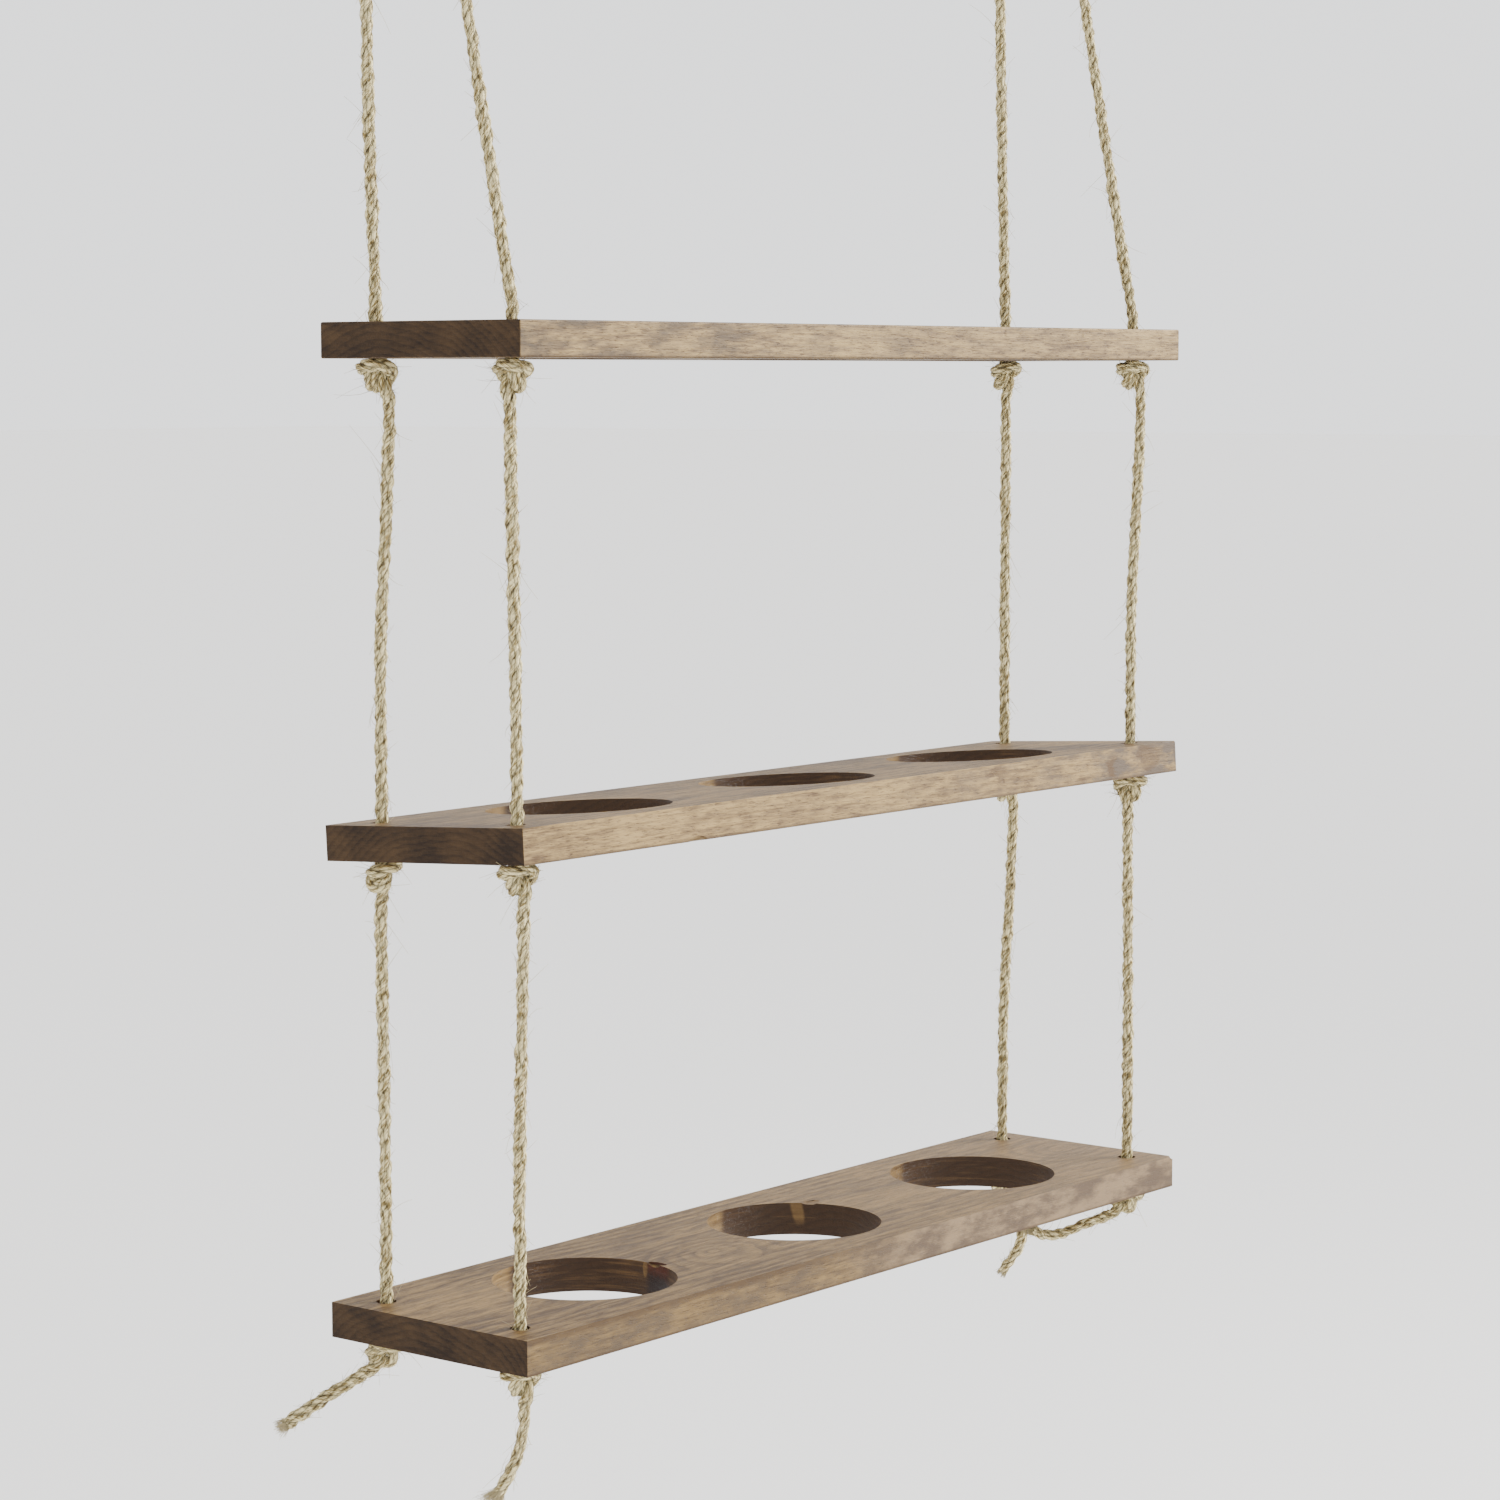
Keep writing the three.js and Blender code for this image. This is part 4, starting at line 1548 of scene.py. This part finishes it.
class RopeWork:
    """All the ropes of the shelf: loops, loop knots, hangers, stretches, stopper knots and tails."""

    def __init__(self, rope: Finish, fibre: Finish) -> None:
        """Keeps the finishes and works out the route of every knot.

        Args:
            rope: The ropes' material.
            fibre: The loose fibres' material.
        """
        self.rope = rope
        self.fibre = fibre
        self.knots = {
            (tier.word, column): self._knot(tier, column) for tier in TIERS for column in COLUMNS
        }

    @staticmethod
    def _knot(tier: Tier, column: Column) -> KnotPlace:
        """Routes one stopper knot.

        Args:
            tier: The tier that it holds up.
            column: The rope's side and edge.

        Returns:
            Its route, from inside the top board's hole, or from under another board.
        """
        tied = tier.knots[column]
        side, edge = column
        hole = Matrix.Translation((side.value * HOLE_X, edge.value * HOLE_Y, -BOARD_THICKNESS / 2))
        place = tier.place @ hole @ Matrix.Rotation(math.radians(tied.turn_deg), 4, "Z")
        local = [Vector((tied.hand * x, y, z)) * ROPE for x, y, z in (*STOPPER_TURNS, *tied.exit.value)]
        for point in local[DRAWN_IN_TURNS]:
            point.xy *= KNOT_DRAWN_IN
        if tier.level == 0:
            top = Vector((0, 0, BOARD_THICKNESS - FACE_GAP))
            local = [top, Vector((0, 0, BOARD_THICKNESS / 2)), *local]
        else:
            local[0].z -= FACE_GAP
        return KnotPlace([place @ point for point in local], place @ Vector())

    @staticmethod
    def _stretch(above: KnotPlace, below: KnotPlace) -> list[Vector]:
        """Routes the rope between two tiers.

        Args:
            above: The knot that it comes from.
            below: The knot that it goes to.

        Returns:
            Its points, from the top down.
        """
        start = go_on(above.points[-2], above.points[-1], ROPE / 2)
        top = Vector((above.entry.x, above.entry.y, start[0].z))
        offset = Vector((start[1].x, start[1].y, top.z)) - top
        return [*start, *(top.lerp(below.entry, down) + offset * aside for down, aside in STRETCH_SHARES)]

    def column(self, column: Column, number: int) -> None:
        """Builds everything of one rope that moves with the boards' frame.

        Args:
            column: The rope's side and edge.
            number: The rope's number, for its random fibres.
        """
        top, middle, bottom = (self.knots[tier.word, column] for tier in TIERS)
        start = go_on(bottom.points[-2], bottom.points[-1], ROPE / 2)
        tail = [start[0], *(start[1] + Vector(point) * ROPE for point in TAILS[column])]
        word = name_of(column)
        rows = (
            ("knot_top", top.points, None),
            ("upper_rope", self._stretch(top, middle), TAUT),
            ("knot_middle", middle.points, None),
            ("lower_rope", self._stretch(middle, bottom), TAUT),
            ("knot_bottom", bottom.points, None),
            ("rope_tail", tail, LOOSE),
        )
        sections = [
            Section(f"{kind}_{word}", "rope_frame", points, cord is None, cord)
            for kind, points, cord in rows
        ]
        self._finish(LaidRope(sections, seed=SEED_STEP * number), word, number, FRAYED[column])

    def hanging(self, side: Side, number: int) -> None:
        """Builds the loop, the knot under it and the two ropes that hang from them at one end.

        Args:
            side: The end of the shelf.
            number: A number for its random fibres.
        """
        top = Vector((side.value * HOLE_X, -HOOK_REACH, ROPE / 2 + FACE_GAP))
        rising = [Vector(point) * ROPE for point in HALF_LOOP]
        falling = [Vector((-point.x, -point.y, point.z)) for point in reversed(rising)]
        loop = [point + top for point in (*rising, Vector(), *falling)]
        loop[0].z = loop[-1].z = -LOOP_HEIGHT + FACE_GAP
        entry = Vector((loop[0].x, loop[0].y, -LOOP_HEIGHT - FACE_GAP))
        knot = [entry + Vector(point) * ROPE for point in LOOP_KNOT_TURNS]
        behind = Vector((loop[-1].x, loop[-1].y, entry.z))
        below = Vector((behind.x, behind.y, knot[-1].z))
        hanger = f"{side.word}_hanger"
        ring = Section(f"rope_loop_{side.word}", "loops", loop, cord=TAUT)
        tied = Section(f"loop_knot_{side.word}", hanger, knot, knot=True)
        front = self._hanger((side, Edge.FRONT), go_on(knot[-2], knot[-1], ROPE))
        back = self._hanger((side, Edge.BACK), [behind, below])
        ropes = ((side.word, [ring]), (name_of((side, Edge.FRONT)), [tied, front]),
                 (name_of((side, Edge.BACK)), [back]))
        for k, (word, sections) in enumerate(ropes):
            self._finish(LaidRope(sections, seed=number + k), word, number + k)

    def _hanger(self, column: Column, start: list[Vector]) -> Section:
        """Routes a taut rope from under the loop to the top board.

        Args:
            column: The rope's side and edge.
            start: Its first two points.

        Returns:
            The rope's section.
        """
        hole = self.knots["top", column].entry
        end = Vector((hole.x, hole.y, -HOOK_ABOVE_TOP_BOARD + FACE_GAP))
        bend = end + Vector((0, 0, ROPE))
        points = []
        for down, bow in HANGER_SHARES:
            point = start[1].lerp(bend, down)
            point.x -= bow * ROPE
            points.append(point)
        name, body = f"hanger_rope_{name_of(column)}", f"{column[0].word}_hanger"
        return Section(name, body, [*start, *points, end], cord=TAUT)

    def _finish(self, rope: LaidRope, word: str, number: int, frayed: float = 0.0) -> None:
        """Builds a rope's pieces, declares its cords and adds its loose fibres.

        Args:
            rope: The rope.
            word: The word that tells its fibres apart by name.
            number: The rope's number, for its random fibres.
            frayed: How far its last end has frayed.
        """
        rng = np.random.default_rng(FIBRE_SEED + number)
        sets: dict[str, list[Array]] = {}
        for obj, (one, at) in zip(rope.build(self.rope), rope.spans()):
            hand_over(obj, one.body, "sisal", one.name)
            if one.cord is not None:
                self._cord(obj, rope, at, one.cord)
            fibres = rope.fibres(at, KNOT_FUZZ if one.knot else FUZZ, rng)
            sets.setdefault(one.body, []).append(fibres)
        if frayed:
            sets[rope.sections[-1].body].append(rope.brush(frayed, rng))
        for body, groups in sets.items():
            threads = np.vstack(groups)
            threads[..., 1] = np.minimum(threads[..., 1], -FACE_GAP)
            hair = thread_mesh(f"loose_fibres_{body}_{word}", threads, self.fibre)
            hand_over(hair, body, "sisal")

    @staticmethod
    def _cord(obj: Piece, rope: LaidRope, at: slice, lies: dict[str, str]) -> None:
        """Declares a section as a cord, with evenly chosen samples of its line and the last.

        Args:
            obj: The section's piece.
            rope: The rope that it is part of.
            at: The slice of its samples.
            lies: How it lies.
        """
        line = rope.line[at]
        path = line[::CORD_EVERY]
        if len(line) % CORD_EVERY != 1:
            path = np.vstack([path, line[-1]])
        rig.cord(
            obj, exit=tuple(line[0]), length=rope.length(at), diameter=ROPE, stiffness="medium",
            path=path.tolist(), **lies,
        )


@dataclass(frozen=True)
class Chip:
    """A small break in a board's edge: its place in the board's frame and its size."""

    place: Point
    size: Point


@dataclass
class Board:
    """One board with its pot holes, rope holes, eased edges and chips."""

    finish: StainedWood
    chips: tuple[Chip, ...] = ()
    corner_segments: int = 4
    ease_segments: int = 3
    ease_angle: float = math.radians(40)
    pot_hole_sides: int = 96
    rope_hole_sides: int = 28
    chip_roughness: float = 0.0006
    chip_seed: int = 7
    upright_below: float = 0.8
    end_grain_from: float = 0.35
    end_grain_rise: float = 0.5
    long_edge_above: float = 0.6

    def build(self) -> None:
        """Models the board, dresses it and puts it in its place."""
        tier = self.finish.tier
        size = (BOARD_LENGTH, BOARD_DEPTH, BOARD_THICKNESS)
        obj = primitive(bpy.ops.mesh.primitive_cube_add, size, size=1)
        obj.name = tier.word + "_board_wood"
        round_edges(obj, 2, BOARD_CORNER, self.corner_segments)
        cut(obj, [*self._drills(tier), *self._breaks()])
        apply_modifier(
            obj, "BEVEL", width=BOARD_EASE, segments=self.ease_segments, limit_method="ANGLE",
            angle_limit=self.ease_angle, harden_normals=False,
        )
        self._mark(obj)
        only(obj)
        bpy.ops.object.shade_smooth_by_angle(angle=SHARP_EDGE)
        apply_modifier(obj, "WEIGHTED_NORMAL", keep_sharp=True)
        obj.data.materials.append(self.finish.material())
        obj.matrix_world = tier.place
        settle(obj)
        hand_over(obj, tier.body, "stained_wood", tier.word + "_board")

    def _drills(self, tier: Tier) -> list[Piece]:
        """Makes the cutters of the pot holes and the rope holes.

        Args:
            tier: The board's tier.

        Returns:
            The cutters.
        """
        holes = [((share * POT_HOLE_PITCH, 0, 0), POT_HOLE, self.pot_hole_sides)
                 for share in tier.hole_shares]
        holes += [((side.value * HOLE_X, edge.value * HOLE_Y, 0), ROPE_HOLE, self.rope_hole_sides)
                  for side, edge in COLUMNS]
        return [
            primitive(bpy.ops.mesh.primitive_cylinder_add, vertices=sides, radius=width / 2,
                      depth=2 * BOARD_THICKNESS, location=place)
            for place, width, sides in holes
        ]

    def _breaks(self) -> list[Piece]:
        """Makes the rough lumps that break the chips out of the edges.

        Returns:
            The lumps.
        """
        lumps = []
        for chip in self.chips:
            lump = primitive(
                bpy.ops.mesh.primitive_ico_sphere_add, chip.size, subdivisions=2, radius=0.5,
                location=chip.place,
            )
            with editing(lump):
                bpy.ops.mesh.select_all(action="SELECT")
                bpy.ops.transform.vertex_random(offset=self.chip_roughness, seed=self.chip_seed)
            lumps.append(lump)
        return lumps

    def _mark(self, obj: Piece) -> None:
        """Stores on each face how much of it is end grain, hole wall or long edge.

        Args:
            obj: The board, still about the middle of its frame.
        """
        mesh = obj.data
        normal, centre = np.zeros((2, len(mesh.polygons) * 3))
        mesh.polygons.foreach_get("normal", normal)
        mesh.polygons.foreach_get("center", centre)
        facing, away = (np.abs(rows).reshape(-1, 3) for rows in (normal, centre))
        inner = away[:, 0] < BOARD_LENGTH / 2 - 2 * BOARD_CORNER
        inner &= away[:, 1] < BOARD_DEPTH / 2 - 2 * BOARD_CORNER
        wall = ((facing[:, 2] < self.upright_below) & inner).astype(float)
        marks = {
            "end_grain": np.clip((facing[:, 0] - self.end_grain_from) / self.end_grain_rise, 0, 1),
            "hole_wall": wall,
            "long_edge": (facing[:, 1] > self.long_edge_above) * (1 - wall),
        }
        for word, value in marks.items():
            layer = mesh.attributes.new(word, "FLOAT", "FACE")
            layer.data.foreach_set("value", value.astype(np.float32))


@dataclass
class WallHook:
    """One wall hook: plate, rod with an upturned tip, and two screws."""

    side: Side
    finish: Finish
    rod: float = 0.005
    rod_bend: float = 0.006
    rod_sides: int = 24
    rod_bend_steps: int = 10
    tip_height: float = 0.014
    tip_room: float = 0.007
    tip_dome: tuple[tuple[float, float], ...] = ((1 / 6, 0.8), (1 / 12, 0.55))
    fit: float = 0.0003
    plate_width: float = 0.022
    plate_above: float = 0.018
    plate_below: float = 0.024
    plate_thickness: float = 0.003
    plate_corner: float = 0.004
    plate_corner_segments: int = 6
    plate_ease: float = 0.0004
    plate_ease_angle: float = math.radians(50)
    plate_ease_segments: int = 2
    screw_from_end: float = 0.008
    screw_head: float = 0.008
    screw_head_height: float = 0.0024
    screw_head_round: float = 0.55
    screw_head_steps: int = 5
    screw_shank: float = 0.0038
    screw_sides: int = 32
    recess_length: float = 0.0044
    recess_width: float = 0.0009

    @property
    def screw_heights(self) -> dict[str, float]:
        """The heights of the two screws by name."""
        return {
            "upper": self.plate_above - self.screw_from_end,
            "lower": self.screw_from_end - self.plate_below,
        }

    def build(self) -> None:
        """Models and dresses the plate, the rod and the screws."""
        self._done(self._plate(), f"wall_plate_{self.side.word}")
        self._done(self._rod(), f"hook_rod_{self.side.word}")
        for word, height in self.screw_heights.items():
            self._done(self._screw(height), f"hook_screw_{word}_{self.side.word}")

    def _done(self, obj: Piece, node: str) -> None:
        """Names, dresses and hands over one piece.

        Args:
            obj: The piece, made about X = 0.
            node: The node that it replaces.
        """
        obj.name = node + "_steel"
        obj.location.x += self.side.value * HOLE_X
        settle(obj)
        bpy.ops.object.shade_smooth_by_angle(angle=SHARP_EDGE)
        obj.data.materials.append(self.finish)
        hand_over(obj, "wall_hooks", "zinc_steel", node)

    def _disc(self, radius: float, depth: float, y: float, z: float) -> Piece:
        """Makes a cylinder that points out of the wall.

        Args:
            radius: Its radius.
            depth: Its length.
            y: The place of its middle along its length.
            z: Its height.

        Returns:
            The cylinder.
        """
        return primitive(
            bpy.ops.mesh.primitive_cylinder_add, vertices=self.screw_sides, radius=radius, depth=depth,
            location=(0, y, z), rotation=(math.pi / 2, 0, 0),
        )

    def _plate(self) -> Piece:
        """Makes the wall plate, with round corners, an eased rim and holes for the rod and screws.

        Returns:
            The plate.
        """
        size = (self.plate_width, self.plate_thickness, self.plate_above + self.plate_below)
        middle = (0, -self.plate_thickness / 2, (self.plate_above - self.plate_below) / 2)
        obj = primitive(bpy.ops.mesh.primitive_cube_add, size, size=1, location=middle)
        round_edges(obj, 1, self.plate_corner, self.plate_corner_segments)
        holes = [(-self.rod / 2, self.rod)]
        holes += [(z, self.screw_shank) for z in self.screw_heights.values()]
        depth = 4 * self.plate_thickness
        cut(obj, [self._disc(width / 2 + self.fit, depth, 0, z) for z, width in holes])
        apply_modifier(
            obj, "BEVEL", width=self.plate_ease, segments=self.plate_ease_segments,
            limit_method="ANGLE", angle_limit=self.plate_ease_angle,
        )
        return obj

    def _rod(self) -> Piece:
        """Makes the rod: a disc drawn straight out of the plate, turned up round the bend, and domed.

        Returns:
            The rod.
        """
        bend_y = self.rod_bend - (HOOK_REACH + ROPE / 2 + self.tip_room + self.rod / 2)
        axis = -self.rod / 2
        obj = primitive(
            bpy.ops.mesh.primitive_circle_add, vertices=self.rod_sides, radius=self.rod / 2,
            fill_type="NGON", location=(0, -self.fit, axis), rotation=(math.pi / 2, 0, 0),
        )
        with editing(obj):
            bpy.ops.mesh.select_all(action="SELECT")
            self._draw(0, bend_y + self.fit, 0)
            bpy.ops.mesh.spin(
                steps=self.rod_bend_steps, angle=math.pi / 2, center=(0, bend_y, axis + self.rod_bend),
                axis=(1, 0, 0),
            )
            self._draw(0, 0, self.tip_height - self.rod_bend - self.rod / 4)
            for rise, share in self.tip_dome:
                self._draw(0, 0, self.rod * rise)
                bpy.ops.transform.resize(value=(share, share, 1))
            bpy.ops.mesh.select_all(action="SELECT")
            bpy.ops.mesh.remove_doubles(threshold=0.00001)
            bpy.ops.mesh.normals_make_consistent(inside=False)
        return obj

    @staticmethod
    def _draw(x: float, y: float, z: float) -> None:
        """Draws the selected faces out by this much."""
        bpy.ops.mesh.extrude_region_move(TRANSFORM_OT_translate={"value": (x, y, z)})

    def _screw(self, height: float) -> Piece:
        """Makes a pan-head screw with a cross recess, as far as the back of the plate.

        Args:
            height: The height of its middle.

        Returns:
            The screw.
        """
        radius, tall = self.screw_head / 2, self.screw_head_height
        seat = self.plate_thickness + self.fit
        obj = self._disc(radius, tall, -seat - tall / 2, height)
        with editing(obj) as shape:
            self._pick(obj, shape, -seat - tall)
            bpy.ops.mesh.bevel(offset=tall * self.screw_head_round, segments=self.screw_head_steps)
        with editing(obj) as shape:
            self._pick(obj, shape, -seat)
            bpy.ops.mesh.inset(thickness=radius * (1 - self.screw_shank / self.screw_head))
            self._draw(0, seat - self.fit, 0)
        front = (0, -seat - tall, height)
        arms = (self.recess_length, self.recess_width), (self.recess_width, self.recess_length)
        for wide, high in arms:
            size = (wide, tall, high)
            cut(obj, [primitive(bpy.ops.mesh.primitive_cube_add, size, size=1, location=front)])
        return obj

    @staticmethod
    def _pick(obj: Piece, shape: bmesh.types.BMesh, y: float) -> None:
        """Selects the flat face at one depth.

        Args:
            obj: The piece.
            shape: Its mesh, open for editing.
            y: The depth.
        """
        for face in shape.faces:
            face.select_set(abs(face.calc_center_median().y - y) < FACE_GAP / 10)
        bmesh.update_edit_mesh(obj.data)


@dataclass
class Studio:
    """The floor, the lights and the camera at the photograph's viewing angle."""

    image: int = 1500
    focal_px: float = 3915.0
    place: Point = (-1.7675, -1.461, -0.6305)
    yaw_deg: float = -51.31
    pitch_deg: float = -5.40
    roll_deg: float = -0.11
    floor_z: float = -1.62
    floor_size: float = 120.0
    floor_paint: Point = (0.90, 0.895, 0.89)
    walls: Point = (0.938, 0.945, 0.955)
    light_low: float = 1.93
    light_high: float = 1.3
    light_rise: tuple[float, float] = (0.05, 0.6)
    daylight: Point = (1.0, 0.98, 0.945)

    def camera(self) -> None:
        """Places the camera."""
        data = bpy.data.cameras.new("camera")
        data.sensor_width = 36.0
        data.lens = self.focal_px / self.image * data.sensor_width
        data.clip_end = 200.0
        obj = bpy.data.objects.new("camera", data)
        turn = Matrix.Rotation(math.radians(self.yaw_deg), 4, "Z")
        tip = Matrix.Rotation(math.radians(90 + self.pitch_deg), 4, "X")
        roll = Matrix.Rotation(math.radians(self.roll_deg), 4, "Z")
        obj.matrix_world = Matrix.Translation(self.place) @ turn @ tip @ roll
        bpy.context.scene.collection.objects.link(obj)
        bpy.context.scene.camera = obj

    def floor(self) -> None:
        """Makes the plain pale floor."""
        bpy.ops.object.select_all(action="DESELECT")
        bpy.ops.mesh.primitive_plane_add(size=self.floor_size, location=(0, 0, self.floor_z))
        obj = bpy.context.active_object
        obj.name = "floor"
        paint = Graph("pale_floor").finish(Base_Color=self.floor_paint, Roughness=0.9)
        obj.data.materials.append(paint)
        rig.stage(obj)

    def room(self) -> None:
        """Surrounds the shelf with pale walls that are darker towards the ceiling."""
        world = bpy.data.worlds.new("pale_room")
        world.use_nodes = True
        nodes, links = world.node_tree.nodes, world.node_tree.links
        place = nodes.new("ShaderNodeTexCoord")
        height = nodes.new("ShaderNodeSeparateXYZ")
        light = nodes.new("ShaderNodeMapRange")
        light.interpolation_type = "SMOOTHSTEP"
        for socket, value in zip(light.inputs, (0.0, *self.light_rise, self.light_low, self.light_high)):
            socket.default_value = value
        background = nodes["Background"]
        background.inputs["Color"].default_value = (*self.walls, 1.0)
        links.new(place.outputs["Generated"], height.inputs[0])
        links.new(height.outputs["Z"], light.inputs[0])
        links.new(light.outputs[0], background.inputs["Strength"])
        bpy.context.scene.world = world

    def lights(self) -> None:
        """Lights the shelf softly from a window and a doorway at its front right."""
        self._light(
            "doorway", "AREA", aim=(-0.82, 0.50, -0.42), place=(1.95, -1.15, 0.1), size=0.9, energy=50.0,
        )
        self._light(
            "window", "SUN", aim=(-0.72, 0.52, -0.46), place=(0.0, 0.0, 0.0), energy=4.6,
            angle=math.radians(38),
        )

    def _light(self, name: str, kind: str, aim: Point, place: Point, **settings: float) -> None:
        """Adds a light.

        Args:
            name: Its name.
            kind: Its type.
            aim: The direction in which it shines.
            place: Where it is.
            settings: Its own properties.
        """
        data = bpy.data.lights.new(name, kind)
        data.color = self.daylight
        for key, value in settings.items():
            setattr(data, key, value)
        obj = bpy.data.objects.new(name, data)
        obj.location = place
        obj.rotation_euler = Vector(aim).to_track_quat("-Z", "Y").to_euler()
        bpy.context.scene.collection.objects.link(obj)


TOP, MIDDLE, BOTTOM = TIERS
BOARDS = (
    Board(StainedWood(
        "stained_top_board", TOP, seed=3.7, pith=(0.018, -0.075),
        edge_share=0.88, mottle=(1.2, 0.0), worn=(0.385, 0.26, 0.105),
    )),
    Board(StainedWood(
        "stained_middle_board", MIDDLE, seed=11.3, pith=(-0.012, -0.09),
        edge_share=0.95, mottle=(0.05, 2.2), mottle_power=4.0,
        worn=(0.36, 0.24, 0.094), grey=(0.098, 0.070, 0.048),
        stains=((0.273, 0.003, 0.013), (0.238, -0.004, 0.009), (0.112, 0.008, 0.008)),
    ), (
        Chip((-0.167, -0.0702, -0.0088), (0.016, 0.003, 0.0035)),
        Chip((0.3005, -0.0712, 0.0102), (0.020, 0.005, 0.004)),
    )),
    Board(StainedWood(
        "stained_bottom_board", BOTTOM, seed=23.9, pith=(0.006, -0.08),
        edge_share=1.0, mottle=(1.0, 0.8), hazy=(0.38, 0.85), dark_arris=0.8,
        worn=(0.205, 0.128, 0.046), brown=(0.062, 0.034, 0.013),
        swirls=((-0.085, -0.012, 0.03), (0.285, 0.0, 0.03)),
        knots=((-0.1275, -0.0125, 0.0135),),
        ambers=((0.0475, 0.030, 0.0046), (-0.1288, -0.0004, 0.0022)),
    ), (
        Chip((0.0535, 0.0245, 0.0098), (0.016, 0.010, 0.0022)),
        Chip((-0.1282, -0.0085, 0.0092), (0.006, 0.014, 0.0035)),
        Chip((0.304, -0.070, 0.0095), (0.006, 0.005, 0.004)),
    )),
)


def main() -> None:
    """Builds the scene: the camera and the ropes first, then the boards, the hooks and the studio."""
    logging.basicConfig(level=logging.INFO, format="%(message)s")
    studio = Studio()
    studio.camera()
    ropes = RopeWork(Sisal().material(), Fibre().material())
    for number, column in enumerate(COLUMNS):
        ropes.column(column, number + 1)
    for number, side in enumerate(Side):
        ropes.hanging(side, HANGING_SEED + SEED_STEP * number)
    for board in BOARDS:
        board.build()
    steel = ZincSteel().material()
    for side in Side:
        WallHook(side, steel).build()
    studio.floor()
    studio.room()
    studio.lights()


if __name__ == "__main__":
    main()
    sizes = {"cad": [list(corner) for corner in CAD_BOX], "visual": [list(corner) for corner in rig.bounds()]}
    with open("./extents.json", "w") as out:
        json.dump(sizes, out)
